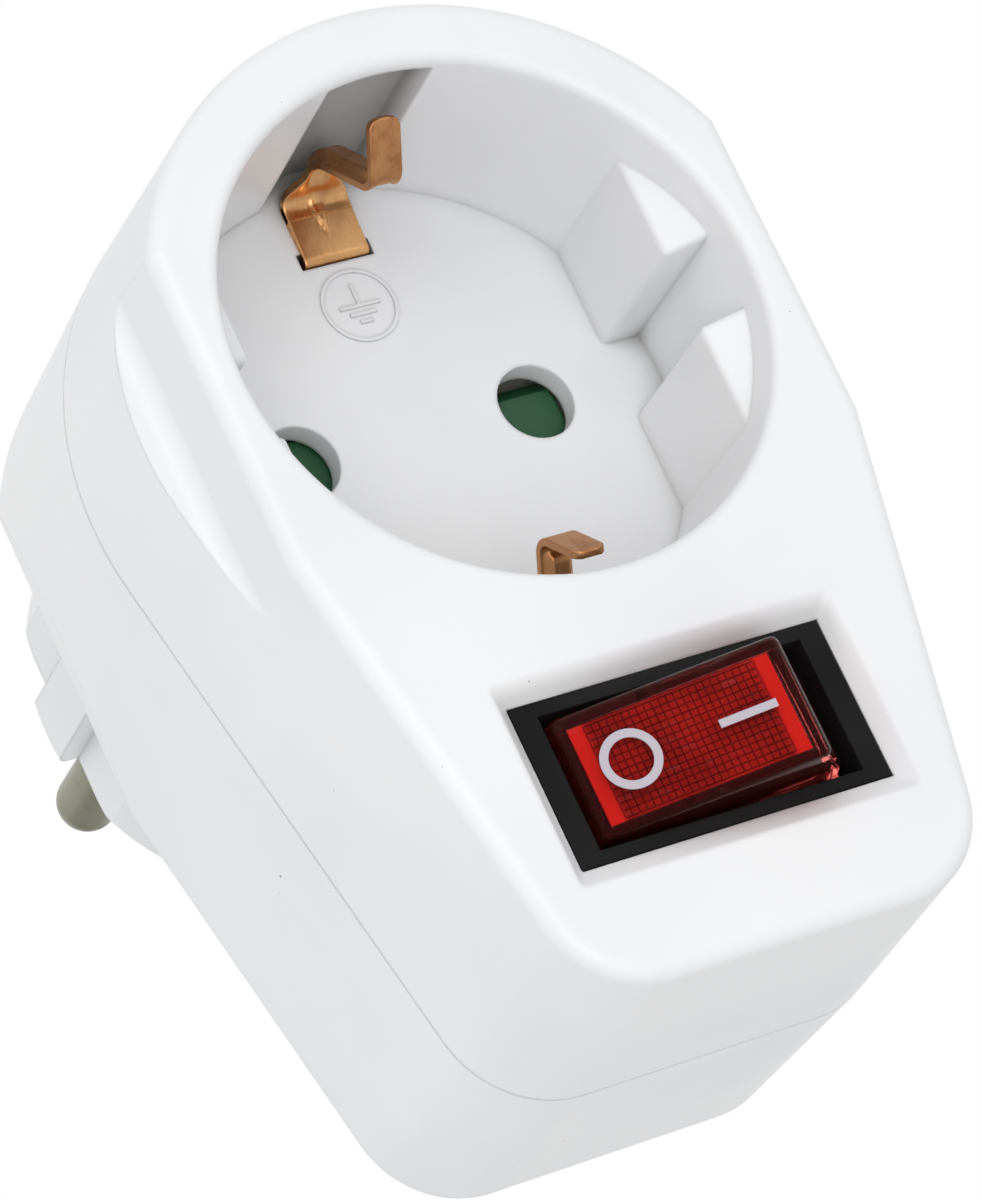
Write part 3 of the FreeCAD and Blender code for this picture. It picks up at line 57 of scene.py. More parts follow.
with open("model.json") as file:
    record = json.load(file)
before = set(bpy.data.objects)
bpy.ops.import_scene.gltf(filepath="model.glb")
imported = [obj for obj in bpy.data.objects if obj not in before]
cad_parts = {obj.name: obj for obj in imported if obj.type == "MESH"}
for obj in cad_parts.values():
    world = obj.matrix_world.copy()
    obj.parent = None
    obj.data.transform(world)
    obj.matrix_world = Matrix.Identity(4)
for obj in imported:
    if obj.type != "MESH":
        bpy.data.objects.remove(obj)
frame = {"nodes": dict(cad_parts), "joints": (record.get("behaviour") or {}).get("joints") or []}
CAD_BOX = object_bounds()
NODES = frame["nodes"]
JOINTS = {joint["name"]: joint for joint in frame["joints"]}

ROCKER_PIVOT = Vector(JOINTS["rocker_tilt"]["pos_m"])
ROCKER_REST = math.radians(-JOINTS["rocker_tilt"]["range_deg"][1] / 2)
CLIP_ROOT = Vector(JOINTS["upper_clip_flex"]["pos_m"])
STRAP_LOW, STRAP_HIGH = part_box("earth_strap")
FRONT_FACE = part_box("front_shell")[0].y

ACROSS = (1.0, 0.0, 0.0)
INWARD = (0.0, 1.0, 0.0)
UPWARD = (0.0, 0.0, 1.0)
EVEN_GRAIN = (1.0, 1.0, 1.0)
MOULD_SCRATCHES = (1.0, 0.06, 0.35)
COVER_SCRATCHES = (0.08, 1.0, 1.0)

# Where the soft step of a mask starts and ends.
CLOUD_STEP = (0.35, 0.68)
SCRATCH_STEP = (0.60, 0.74)
# Step of the painted shade in the deepest pockets.
POCKET_STEP = (0.54, 0.92)
EDGE_STEP = (0.01, 0.20)
TARNISH_STEP = (0.44, 0.74)
COVER_SCRATCH_STEP = (0.62, 0.74)
# Step of the painted shade in clouds on the rocker's plate.
SHADE_CLOUD_STEP = (0.38, 0.62)

# How the section of a pressed strip is cut, and the finger's start in bend radii behind its root.
SECTION_STEPS = 12
SECTION_CROWDING = 1.6
RIDGE_SLOPE = 0.5
CORNER_TURN = 30
ROOT_LAP = 1.3

# A length that counts as none.
TINY = 1e-6


def length(name, description, default):
    """A length that a user may change, shown in scene units."""
    return FloatProperty(name=name, description=description, default=default, min=0.0, precision=5,
                         subtype="DISTANCE", unit="LENGTH")


def angle(name, description, default):
    """An angle that a user may change, given here in degrees."""
    return FloatProperty(name=name, description=description, default=math.radians(default), subtype="ANGLE")


def share(name, description, default):
    """A share from 0 to 1."""
    return FloatProperty(name=name, description=description, default=default, min=0.0, max=1.0,
                         subtype="FACTOR")


def power(name, description, default):
    """The power of a lamp in watts."""
    return FloatProperty(name=name, description=description, default=default, min=0.0, unit="POWER")


def spot(name, description, default):
    """A place in the part's frame."""
    return FloatVectorProperty(name=name, description=description, default=default, size=3, precision=5,
                               subtype="TRANSLATION", unit="LENGTH")


def colour(name, description, default):
    """A linear colour with alpha."""
    return FloatVectorProperty(name=name, description=description, default=(*default, 1.0), size=4,
                               min=0.0, max=1.0, subtype="COLOR")


class CasingSettings(bpy.types.PropertyGroup):
    """Finish of the moulded casing."""

    tone: colour("Casing", "Colour of the moulded casing", (0.860, 0.865, 0.875))
    shade: colour("Casing shade", "Greyer tone that clouds the casing", (0.815, 0.825, 0.845))
    # The tone that corners and seams darken towards.
    corner_tone: colour("Grime", "Dust that settles in corners and seams", (0.40, 0.40, 0.365))
    speck: colour("Speck", "Dark specks in the moulding", (0.10, 0.095, 0.085))
    gloss: share("Roughness", "Roughness of the moulded surface", 0.34)
    edge: length("Edge", "Radius that softens edges in the light", 0.00045)
    # Painted shade: the next settings darken the deepest pockets, the recess behind each sprung finger and
    # the walls over the switch towards a shade tone.
    deep: colour("Pocket shade", "Tone of the settled dust", (0.17, 0.17, 0.15))
    pocket: share("Pocket dust", "Share of dust over the deepest pockets", 0.95)
    pocket_reach: length("Pocket reach", "Distance over which a pocket counts as deep", 0.0045)
    recess: share("Recess dust", "Share of dust in the recess behind each sprung finger", 0.67)
    recess_half: length("Recess half width", "Half the width of the dusty recess", 0.0043)
    recess_near: length("Recess start", "Distance of the recess from the plug axis", 0.0192)
    recess_far: length("Recess end", "Distance at which the recess ends", 0.0225)
    recess_fade: length("Recess fade", "Run over which the dust sets in", 0.0020)
    recess_top: length("Recess top", "Clean depth under the front", 0.0011)
    well: share("Well dust", "Share of dust on the walls over the switch", 0.27)
    well_half: length("Well half width", "Half the width of the dusty well", 0.0137)
    well_rise: length("Well rise", "Height of the dusty well over the rocker's pivot", 0.0080)
    well_full: length("Well full rise", "Height at which the well's dust is full", 0.0064)
    well_lip: length("Well lip", "Clean depth under the front", 0.0001)
    well_depth: length("Well depth", "Depth at which the well's dust is full", 0.0009)
    speck_spacing: length("Speck spacing", "Spacing of the larger specks", 0.0062)
    speck_size: length("Speck size", "Size of the larger specks", 0.00026)
    speck_share: share("Speck share", "Share of places with a larger speck", 0.30)
    dot_spacing: length("Dot spacing", "Spacing of the finest specks", 0.0017)
    dot_size: length("Dot size", "Size of the finest specks", 0.00010)
    dot_share: share("Dot share", "Share of places with a finest speck", 0.10)
    speck_strength: share("Speck strength", "How dark the specks are", 0.85)


class SkinSettings(bpy.types.PropertyGroup):
    """Clouds, darkening in corners and wear that the moulded finishes share."""

    cloud_size: length("Cloud size", "Size of the broad clouds of colour", 0.022)
    grain_size: length("Grain size", "Size of the fine clouds of colour", 0.0016)
    scratch_size: length("Scratch size", "Width of the fine scratches", 0.0007)
    bump_size: length("Bump size", "Size of the skin's fine bumps", 0.00032)
    swell_size: length("Swell size", "Size of the skin's softer bumps", 0.0012)
    # How far and how strongly corners and seams are darkened.
    corner_darkening_reach: length("Dust reach", "Distance over which dust gathers in a corner", 0.0011)
    corner_darkening: share("Dust", "Strength of the dust in corners", 0.42)


class MetalSettings(bpy.types.PropertyGroup):
    """Finish of the metal parts."""

    copper: colour("Copper", "Clean copper alloy", (0.84, 0.46, 0.20))
    copper_dark: colour("Copper tarnish", "Browned copper alloy", (0.42, 0.18, 0.075))
    brass: colour("Brass", "Clean brass", (0.80, 0.60, 0.27))
    brass_dark: colour("Brass tarnish", "Dull brass", (0.45, 0.30, 0.12))
    silver: colour("Silver", "Contact silver", (0.80, 0.79, 0.75))
    silver_dark: colour("Silver tarnish", "Sulphide bloom on silver", (0.30, 0.26, 0.20))
    steel: colour("Steel", "Plated steel", (0.66, 0.67, 0.68))
    steel_dark: colour("Steel tarnish", "Worn plating", (0.36, 0.35, 0.33))
    nickel: colour("Nickel", "Plated pin", (0.25, 0.25, 0.19))
    nickel_dark: colour("Nickel tarnish", "Rubbed pin with brass behind", (0.16, 0.155, 0.105))
    patch_size: length("Patch size", "Size of the tarnished patches", 0.0034)
    streak_size: length("Streak size", "Width of the finest rolling streaks", 0.00016)
    ridge_size: length("Ridge size", "Width of the coarser rolling streaks", 0.0006)
    corner_reach: length("Corner reach", "Distance over which a corner browns", 0.0022)
    # Browning of the sprung fingers towards the front: painted dark reflection.
    painted_dark_reflection: share("Stain", "Strength of the stain on a sprung finger", 0.65)


class EarthSettings(bpy.types.PropertyGroup):
    """Shape of the pressed earth strip."""

    strip: length("Strip", "Thickness of the pressed strip", 0.00058)
    edge: length("Edge", "Radius of the tumbled edges", 0.00012)
    strap: length("Strap", "Thickness of the strap that joins both sides", 0.0006)
    strap_leg: length("Strap leg", "Distance of the strap's legs from the middle", 0.01436)
    strap_bend: length("Strap bend", "Radius of the strap's bends", 0.00036)
    strap_sink: length("Strap sink", "How far the foot sinks into its seat", 0.00036)
    bend: length("Bend", "Radius of the bend where the finger leaves the foot", 0.0013)
    shoulder_bend: length("Shoulder bend", "Radius of the finger's shoulder", 0.0030)
    nose_bend: length("Nose bend", "Radius of the bend that touches the plug", 0.0012)
    shoulder_depth: length("Shoulder depth", "Depth of the finger's shoulder under the front", 0.0125)
    nose_depth: length("Nose depth", "Depth of the finger's nose under the front", 0.0070)
    tip_depth: length("Tip depth", "Depth of the finger's tip under the front", 0.0032)
    lean: length("Lean", "How far the shoulder leans out of the root", 0.0003)
    bulge: length("Bulge", "How far the nose stands inside the shoulder", 0.00575)
    flare: length("Flare", "How far the tip opens outwards", 0.00345)
    finger_half: length("Finger half width", "Half the width of the finger", 0.00126)
    dome_start: length("Dome start", "Distance at which the finger starts to narrow", 0.0013)
    dome_end: length("Dome end", "Distance at which the finger is narrow", 0.0044)
    tip_corner: length("Tip corner", "Corner radius of the finger's tip", 0.00085)
    step: length("Step", "Spacing of the rings along the strip", 0.00014)
    tip_plain: length("Plain tip", "Length of the nose and tip without an arch", 0.0046)
    arch_run: length("Arch run", "Length over which the arch rises", 0.0019)
    arch: length("Arch", "Height of the arch along the finger's back", 0.0008)
    arch_half: length("Arch half width", "Half the width of the arch", 0.0011)
    bead: length("Bead", "Depth of the bead pressed over the foot", 0.00024)
    foot_bead_half: length("Foot bead half width", "Half the width of the bead at the bend", 0.00062)
    foot_bead_length: length("Foot bead length", "How far the bead runs over the foot", 0.0034)


class RockerSettings(bpy.types.PropertyGroup):
    """Shape and colours of the illuminated rocker."""

    rise: length("Rise", "Height of the window over the pivot", 0.0070)
    half_length: length("Half length", "Half the window's outer length", 0.00817)
    half_width: length("Half width", "Half the window's outer width", 0.0045)
    shoulder: length("Shoulder", "Height of the shoulders over the pivot", 0.0022)
    shoulder_half: length("Shoulder half length", "Half the length over the shoulders", 0.0098)
    foot: length("Foot", "Height of the window's foot over the pivot", 0.0005)
    wall: length("Wall", "Wall of the red cover", 0.0009)
    edge: length("Edge", "Run of the cover's rounded outer edges", 0.00055)
    plate: length("Plate", "Thickness of the patterned plate", 0.0007)
    plate_gap: length("Plate gap", "Gap between the plate and the cover", 0.00002)
    pitch: length("Pitch", "Spacing of the raised squares", 0.00053)
    groove: length("Groove", "Width of the groove between squares", 0.00019)
    groove_depth: length("Groove depth", "Depth of the groove between squares", 0.00016)
    plain_end: length("Plain end", "Plain strip at each end of the plate", 0.00112)
    plain_side: length("Plain side", "Plain strip along each side of the plate", 0.00022)
    lens: colour("Cover", "Red of the clear cover", (0.93, 0.16, 0.14))
    lens_deep: colour("Cover shade", "Deeper red of the clear cover", (0.84, 0.13, 0.115))
    # Painted shade on the cover's rounded edges.
    lens_edge_painted_shade: colour("Cover edge", "Dark red of the cover's rounded edges", (0.42, 0.025, 0.030))
    plate_end: colour("Plate end", "Bright plain ends of the plate", (0.98, 0.68, 0.58))
    plate_tone: colour("Plate", "Raised squares of the plate", (0.52, 0.38, 0.34))
    # Painted shade on the plate: squares darker in clouds, and darker grooves.
    plate_painted_shade: colour("Plate dim", "Squares over the darker inside", (0.36, 0.24, 0.22))
    groove_painted_shade: colour("Plate shade", "Grooves of the plate", (0.11, 0.045, 0.045))
    tray: colour("Tray", "Dark red tray", (0.016, 0.002, 0.003))
    mark: colour("Mark", "Printed marks", (0.50, 0.455, 0.51))
    glint: colour("Glint", "Tone of the reflection on the clear cover", (0.14, 0.06, 0.06))
    clear: share("Clearness", "Share of light that passes the cover", 0.985)
    cover_soft: length("Cover softening", "Radius that softens the cover's edges", 0.00008)
    plate_soft: length("Plate softening", "Radius that softens the plate's edges", 0.00003)
    haze_size: length("Haze size", "Size of the hazy spots on the cover", 0.0021)
    scratch_size: length("Scratch size", "Width of the scratches on the cover", 0.00045)
    wave_size: length("Wave size", "Size of the waves in the cover's face", 0.0017)
    # Size of the clouds of painted shade on the plate.
    shade_cloud_size: length("Glow size", "Size of the plate's darker places", 0.0042)
    grain_size: length("Grain size", "Size of the plate's frosting", 0.0002)


class InnerSettings(bpy.types.PropertyGroup):
    """Colours of the switch, shutter and inner mouldings."""

    black: colour("Switch", "Black of the switch frame", (0.0085, 0.0088, 0.0092))
    black_worn: colour("Switch wear", "Rubbed black", (0.020, 0.020, 0.021))
    green: colour("Shutter", "Green of the shutter", (0.020, 0.105, 0.043))
    green_deep: colour("Shutter shade", "Deeper green", (0.012, 0.066, 0.028))
    carrier: colour("Carrier", "Inner mouldings", (0.30, 0.29, 0.26))
    plunger: colour("Plunger", "Sliding plunger", (0.62, 0.60, 0.54))
    glass: colour("Lamp", "Glass of the lamp", (0.92, 0.90, 0.86))
    resistor: colour("Resistor", "Lacquer of the resistor", (0.55, 0.42, 0.25))


class StageSettings(bpy.types.PropertyGroup):
    """Camera, lamps and floor."""

    eye: spot("Eye", "Place of the camera", (-0.18441, -0.35225, -0.13465))
    heading: angle("Heading", "Turn of the view towards the right", 29.02)
    climb: angle("Climb", "Climb of the view over the level", 17.75)
    roll: angle("Roll", "Turn of the picture about the line of sight", 25.38)
    lens: FloatProperty(name="Lens", description="Focal length in mm on a 36 mm frame", default=173.9)
    near: length("Near", "Distance at which the camera starts to see", 0.01)
    floor_drop: length("Floor drop", "How far the floor lies under the plug axis", 0.60)
    floor_half: length("Floor half size", "Half the size of the floor", 3.0)
    floor_tone: colour("Floor", "Pale floor", (0.82, 0.82, 0.82))
    floor_shade: colour("Floor shade", "Slightly darker clouds of the floor", (0.78, 0.78, 0.78))
    floor_cloud: length("Floor clouds", "Size of the floor's clouds", 0.08)
    floor_grain: length("Floor grain", "Size of the floor's duller places", 0.01)
    floor_bump: length("Floor bumps", "Size of the floor's bumps", 0.002)
    ambient: FloatProperty(name="Ambient", description="Even light from all round", default=0.80, min=0.0)
    key: power("Key", "Power of the large soft lamp", 1.05)
    key_size: length("Key size", "Size of the large soft lamp", 0.5)
    key_place: spot("Key place", "Place of the large soft lamp", (-0.42, -0.80, 0.28))
    side: power("Side", "Power of the soft side lamp", 1.4)
    side_size: length("Side size", "Size of the soft side lamp", 0.4)
    side_place: spot("Side place", "Place of the soft side lamp", (-0.30, -0.62, -0.34))


SETTINGS = (
    ("casing", CasingSettings),
    ("skin", SkinSettings),
    ("metal", MetalSettings),
    ("earth", EarthSettings),
    ("rocker", RockerSettings),
    ("inner", InnerSettings),
    ("stage", StageSettings),
)


def settings(context, name):
    """The group of settings with that name on the scene."""
    return getattr(context.scene, f"adapter_{name}")


class Wire:
    """One output of a finish's nodes. Arithmetic on it adds Math nodes."""

    def __init__(self, finish, socket):
        self.finish = finish
        self.socket = socket

    def reckon(self, operation, first, second):
        """The result of one Math node."""
        return self.finish.node("ShaderNodeMath", {"operation": operation},
                                {"Value": first, "Value_001": second}, "Value")

    def __add__(self, other):
        return self.reckon("ADD", self, other)

    __radd__ = __add__

    def __sub__(self, other):
        return self.reckon("SUBTRACT", self, other)

    def __rsub__(self, other):
        return self.reckon("SUBTRACT", other, self)

    def __mul__(self, other):
        return self.reckon("MULTIPLY", self, other)

    __rmul__ = __mul__

    def __neg__(self):
        return self.reckon("SUBTRACT", 0.0, self)

    def __gt__(self, other):
        return self.reckon("GREATER_THAN", self, other)

    def __lt__(self, other):
        return self.reckon("LESS_THAN", self, other)

    def larger(self, other):
        """The larger of both."""
        return self.reckon("MAXIMUM", self, other)

    def smaller(self, other):
        """The smaller of both."""
        return self.reckon("MINIMUM", self, other)


class Board:
    """A tree of nodes while it is put together."""

    def __init__(self, owner):
        owner.use_nodes = True
        self.tree = owner.node_tree
        self.tree.nodes.clear()

    def node(self, kind, values=None, sockets=None, output=None):
        """A node of that kind: its own values first, then its sockets. Gives one output, or the node."""
        made = self.tree.nodes.new(kind)
        for name, value in (values or {}).items():
            setattr(made, name, value)
        inputs = {socket.identifier: socket for socket in made.inputs}
        for name, value in (sockets or {}).items():
            if isinstance(value, Wire):
                self.tree.links.new(value.socket, inputs[name])
            else:
                inputs[name].default_value = value
        if output is None:
            return made
        return self.wires(made)[output]

    def wires(self, made):
        """Every output of a node, by its name."""
        return {socket.identifier: Wire(self, socket) for socket in made.outputs}


class Finish(Board):
    """A procedural material while it is put together."""

    def __init__(self, name):
        self.material = bpy.data.materials.new(name)
        super().__init__(self.material)
        self.place = self.node("ShaderNodeTexCoord", output="Object")

    def vectors(self, operation, first, second, output="Value"):
        """The result of one Vector Math node."""
        return self.node("ShaderNodeVectorMath", {"operation": operation},
                         {"Vector": first, "Vector_001": second}, output)

    def along(self, direction):
        """How far the place lies along a direction."""
        return self.vectors("DOT_PRODUCT", self.place, direction)

    def distance_along(self, direction, start=0.0):
        """The distance from a start, either way along a direction."""
        passed = self.along(direction) - start
        return passed.larger(-passed)

    def cloud(self, size, detail=2.0, roughness=0.5, stretch=None):
        """Soft noise whose lumps are about that size, stretched along the axes, from 0 to 1."""
        place = self.vectors("MULTIPLY", self.place, stretch, "Vector") if stretch else self.place
        sockets = {"Vector": place, "Scale": 1.0 / size, "Detail": detail, "Roughness": roughness}
        return self.node("ShaderNodeTexNoise", {"noise_dimensions": "3D"}, sockets, "Fac")

    def ramp(self, value, low, high):
        """0 below low, 1 above high, and smooth between."""
        return self.node("ShaderNodeMapRange", {"interpolation_type": "SMOOTHSTEP", "clamp": True},
                         {"Value": value, "From Min": low, "From Max": high}, "Result")

    def mix(self, factor, first, second):
        """From the first colour to the second."""
        return self.node("ShaderNodeMix", {"data_type": "RGBA", "clamp_factor": True},
                         {"Factor_Float": factor, "A_Color": first, "B_Color": second}, "Result_Color")

    def specks(self, spacing, size, portion):
        """Rare round dots, 1 inside a dot."""
        cells = self.node("ShaderNodeTexVoronoi", {"feature": "F1"},
                          {"Vector": self.place, "Scale": 1.0 / spacing, "Randomness": 1.0})
        found = self.wires(cells)
        lot = self.wires(self.node("ShaderNodeSeparateColor", sockets={"Color": found["Color"]}))
        reach = lot["Green"] * (size / spacing)
        return (found["Distance"] < reach) * (lot["Red"] < portion)

    def hollows(self, reach):
        """1 deep in a corner or a seam, 0 in the open."""
        return 1.0 - self.node("ShaderNodeAmbientOcclusion", {"samples": 6}, {"Distance": reach}, "AO")

    def soft_edges(self, radius):
        """The surface's direction with its edges rounded off."""
        return self.node("ShaderNodeBevel", {"samples": 4}, {"Radius": radius}, "Normal")

    def edges(self, soft):
        """1 on an edge that the hand rubs, 0 on a flat."""
        flat = self.node("ShaderNodeNewGeometry", output="Normal")
        return self.ramp(1.0 - self.vectors("DOT_PRODUCT", soft, flat), *EDGE_STEP)

    def relief(self, height, depth, under=None):
        """Fine relief of that depth."""
        sockets = {"Height": height, "Distance": depth, "Strength": 1.0}
        if under is not None:
            sockets["Normal"] = under
        return self.node("ShaderNodeBump", sockets=sockets, output="Normal")

    def surface(self, tone, roughness, normal, **fixed):
        """Closes the material with its shader. Fixed values stand on the shader's own sockets."""
        sockets = {"Base Color": tone, "Roughness": roughness, "Normal": normal}
        sockets.update({name.replace("_", " "): value for name, value in fixed.items()})
        shader = self.node("ShaderNodeBsdfPrincipled", sockets=sockets, output="BSDF")
        self.node("ShaderNodeOutputMaterial", sockets={"Surface": shader})
        return self.material


def moulding(name, tone, shade, corner_tone, roughness, edge, relief=4e-6, look=None, **fixed):
    """Moulded plastic: clouded colour, darkening in corners, rubbed edges and a fine skin.

    A look is the casing's settings, which add painted shade in its pockets, behind each finger and over the
    switch, and dark specks.
    """
    skin = settings(bpy.context, "skin")
    finish = Finish(name)
    soft = finish.soft_edges(edge)
    broad = finish.cloud(skin.cloud_size, detail=3.0)
    fine = finish.cloud(skin.grain_size, detail=4.0, roughness=0.6)
    paint = finish.mix(finish.ramp(broad, *CLOUD_STEP), tone, shade)
    # Darker in corners and seams, by how closed in they are.
    corner_darkening = finish.hollows(skin.corner_darkening_reach) * (0.45 + 0.55 * fine)
    paint = finish.mix(corner_darkening * skin.corner_darkening, paint, corner_tone)
    if look is not None:
        # Painted shade over the deepest pockets, behind each finger and on the walls over the switch.
        paint = finish.mix(painted_pocket_shade(finish, look), paint, look.deep)
        specks = finish.specks(look.speck_spacing, look.speck_size, look.speck_share)
        dots = finish.specks(look.dot_spacing, look.dot_size, look.dot_share)
        paint = finish.mix(specks.larger(dots) * look.speck_strength, paint, look.speck)
    scratches = finish.ramp(finish.cloud(skin.scratch_size, stretch=MOULD_SCRATCHES), *SCRATCH_STEP)
    rough = roughness + 0.10 * (fine - 0.5) + 0.10 * scratches - 0.08 * finish.edges(soft) + 0.25 * corner_darkening
    bumps = finish.cloud(skin.bump_size) + 0.5 * finish.cloud(skin.swell_size, detail=1.0)
    return finish.surface(paint, rough, finish.relief(bumps - 0.25 * scratches, relief, soft), **fixed)


def painted_pocket_shade(finish, look):
    """Painted shade in deep pockets, in the recess behind each finger and on the walls over the switch."""
    # Painted shade where a pocket is deep, in the recess behind each finger and on the upper walls of the
    # well.
    deep = finish.ramp(finish.hollows(look.pocket_reach), *POCKET_STEP) * look.pocket
    aside = finish.distance_along(ACROSS)
    inward = finish.along(INWARD)
    out = finish.distance_along(UPWARD)
    behind = finish.ramp(out, look.recess_near, look.recess_near + look.recess_fade) * (out < look.recess_far)
    behind = behind * (aside < look.recess_half) * (inward > FRONT_FACE + look.recess_top)
    over = finish.along(UPWARD) - ROCKER_PIVOT.z
    well = finish.ramp(over, 0.0, look.well_full) * (over < look.well_rise) * (aside < look.well_half)
    well = well * finish.ramp(inward, FRONT_FACE + look.well_lip, FRONT_FACE + look.well_depth)
    return deep.larger(behind * look.recess).larger(well * look.well)


def pressed_metal(name, kind, roughness, grain=EVEN_GRAIN, edge=0.0001, browning=0.5, sheared=-0.3,
                  painted_dark_reflection=None):
    """Rolled or drawn metal: grain along its length, tarnish in patches, rubbed or sheared edges.

    The kind names the clean and the dark colour in the settings. A sheared share under zero brightens
    the edges, and one over zero browns them. A painted dark reflection is the pair of places along Y
    between which the metal browns towards the front, painted for the dark that the finger reflects.
    """
    metal = settings(bpy.context, "metal")
    finish = Finish(name)
    soft = finish.soft_edges(edge)
    patches = finish.cloud(metal.patch_size, detail=4.0, roughness=0.62)
    streaks = finish.cloud(metal.streak_size, detail=3.0, roughness=0.6, stretch=grain)
    ridges = finish.cloud(metal.ridge_size, stretch=grain)
    dull = finish.ramp(patches + 0.22 * (streaks - 0.5), *TARNISH_STEP) * browning
    dull = dull + 0.6 * browning * finish.hollows(metal.corner_reach) + sheared * finish.edges(soft)
    # Painted dark reflection: the metal browns towards the front between two places.
    if painted_dark_reflection is not None:
        clean, full = painted_dark_reflection
        dull = dull + metal.painted_dark_reflection * finish.ramp(-finish.along(INWARD), -clean, -full)
    dull = dull.smaller(1.0).larger(0.0)
    paint = finish.mix(dull, getattr(metal, kind), getattr(metal, f"{kind}_dark"))
    rough = roughness + 0.16 * dull + 0.14 * (streaks - 0.5)
    height = 0.6 * streaks + 0.5 * ridges + 0.3 * patches
    return finish.surface(paint, rough, finish.relief(height, depth=6e-6, under=soft), Metallic=1.0)


def dress(finish, *names):
    """Gives the finish to those nodes of the frame."""
    for name in names:
        NODES[name].material_slots[0].material = finish


def add_piece(name, mesh, finish, body, slot, *stands_for):
    """A piece of the scene's own that rides on a body and stands for nodes of the frame."""
    piece = bpy.data.objects.new(name, mesh)
    bpy.context.scene.collection.objects.link(piece)
    mesh.materials.append(finish)
    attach(piece, body)
    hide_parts(*stands_for)


def close_mesh(name, shape, smooth_angle=math.radians(38)):
    """The finished mesh, with its faces turned outwards and shaded smooth under that angle."""
    bmesh.ops.recalc_face_normals(shape, faces=shape.faces)
    mesh = bpy.data.meshes.new(name)
    shape.to_mesh(mesh)
    shape.free()
    mesh.shade_smooth()
    mesh.set_sharp_from_angle(angle=smooth_angle)
    return mesh


def bent_line(corners, radii, spacing):
    """Points along straight runs that tangent arcs join, evenly spaced."""
    points = [Vector(corners[0])]
    for before, corner, after, radius in zip(corners, corners[1:], corners[2:], radii):
        corner = Vector(corner)
        back = (Vector(before) - corner).normalized()
        ahead = (Vector(after) - corner).normalized()
        half = back.angle(ahead) / 2
        reach = radius / math.tan(half)
        middle = corner + (back + ahead).normalized() * (radius / math.sin(half))
        start = corner + back * reach - middle
        end = corner + ahead * reach - middle
        axis = start.cross(end)
        sweep = start.angle(end)
        turns = max(4, round(radius * sweep / spacing))
        points += [middle + Matrix.Rotation(sweep * step / turns, 3, axis) @ start
                   for step in range(turns + 1)]
    points.append(Vector(corners[-1]))
    return even_points(points, spacing)


def even_points(points, spacing):
    """The same line cut into even steps."""
    runs = [(after - before).length for before, after in zip(points, points[1:])]
    total = sum(runs)
    count = max(2, round(total / spacing))
    made = []
    run, passed = 0, 0.0
    for step in range(count + 1):
        goal = min(total * step / count, total - 1e-12)
        while passed + runs[run] < goal:
            passed += runs[run]
            run += 1
        made.append(points[run].lerp(points[run + 1], (goal - passed) / runs[run]))
    return made


def blend_between(value, low, high):
    """0 below low, 1 above high, smooth between."""
    part = min(max((value - low) / (high - low), 0.0), 1.0)
    return part * part * (3 - 2 * part)


def corner_arc(x, y, radius, start):
    """Points along the quarter turn that leads clockwise from a start angle in degrees."""
    turns = [math.radians(start - CORNER_TURN * step) for step in (1, 2)]
    return [(x + radius * math.cos(turn), y + radius * math.sin(turn)) for turn in turns]


def pressed_strip(name, line, half_width, bead, thickness, edge, corner):
    """A strip bent along a line in the YZ plane: its width and bead follow the distance along it.

    half_width and bead take the distance from the start and from the end; bead gives (height, half width).
    With a corner radius the far end is rounded off; otherwise both ends are cut square.
    """
    steps = [0.0]
    for before, after in zip(line, line[1:]):
        steps.append(steps[-1] + (after - before).length)
    total = steps[-1]
    shape = bmesh.new()
    rings = []
    for number, (point, step) in enumerate(zip(line, steps)):
        before = line[max(number - 1, 0)]
        after = line[min(number + 1, len(line) - 1)]
        ahead = (after - before).normalized()
        side = Vector((0.0, -ahead.z, ahead.y))
        near = min(total - step, edge) if corner else edge
        thin = thickness / 2 - edge + math.sqrt(edge ** 2 - (edge - near) ** 2)
        cut = max(corner - (total - step), 0.0)
        flat = half_width(step, total - step) - edge - corner + math.sqrt(corner ** 2 - cut ** 2)
        height, spread = bead(step, total - step)
        section = [flat * math.copysign(abs(k / SECTION_STEPS - 1) ** SECTION_CROWDING, k - SECTION_STEPS)
                   for k in range(2 * SECTION_STEPS + 1)]
        ridge = [(x, height * blend_between(spread - abs(x), 0.0, spread * RIDGE_SLOPE)) for x in section]
        ring = [(x, lift + thin) for x, lift in ridge]
        ring += corner_arc(flat, thin - edge, edge, 90)
        ring += corner_arc(flat, edge - thin, edge, 0)
        ring += [(x, lift - thin) for x, lift in reversed(ridge)]
        ring += corner_arc(-flat, edge - thin, edge, 270)
        ring += corner_arc(-flat, thin - edge, edge, 180)
        rings.append([shape.verts.new(point + Vector((x, 0.0, 0.0)) + side * lift) for x, lift in ring])
    for first, second in zip(rings, rings[1:]):
        for k, corner_vert in enumerate(first):
            j = (k + 1) % len(first)
            shape.faces.new((corner_vert, first[j], second[j], second[k]))
    shape.faces.new(rings[0])
    shape.faces.new(rings[-1])
    return close_mesh(name, shape)


class FinishCasing(bpy.types.Operator):
    """Finish both casing shells and the screws."""

    bl_idname = "adapter.finish_casing"
    bl_label = "Finish the casing"

    def execute(self, context):
        look = settings(context, "casing")
        casing = moulding("white_casing", look.tone, look.shade, look.corner_tone, look.gloss, look.edge,
                          look=look, Specular_IOR_Level=0.42)
        dress(casing, "front_shell", "rear_shell")
        dress(pressed_metal("screw_steel", "steel", roughness=0.30, browning=0.7), "housing_screws")
        return {"FINISHED"}


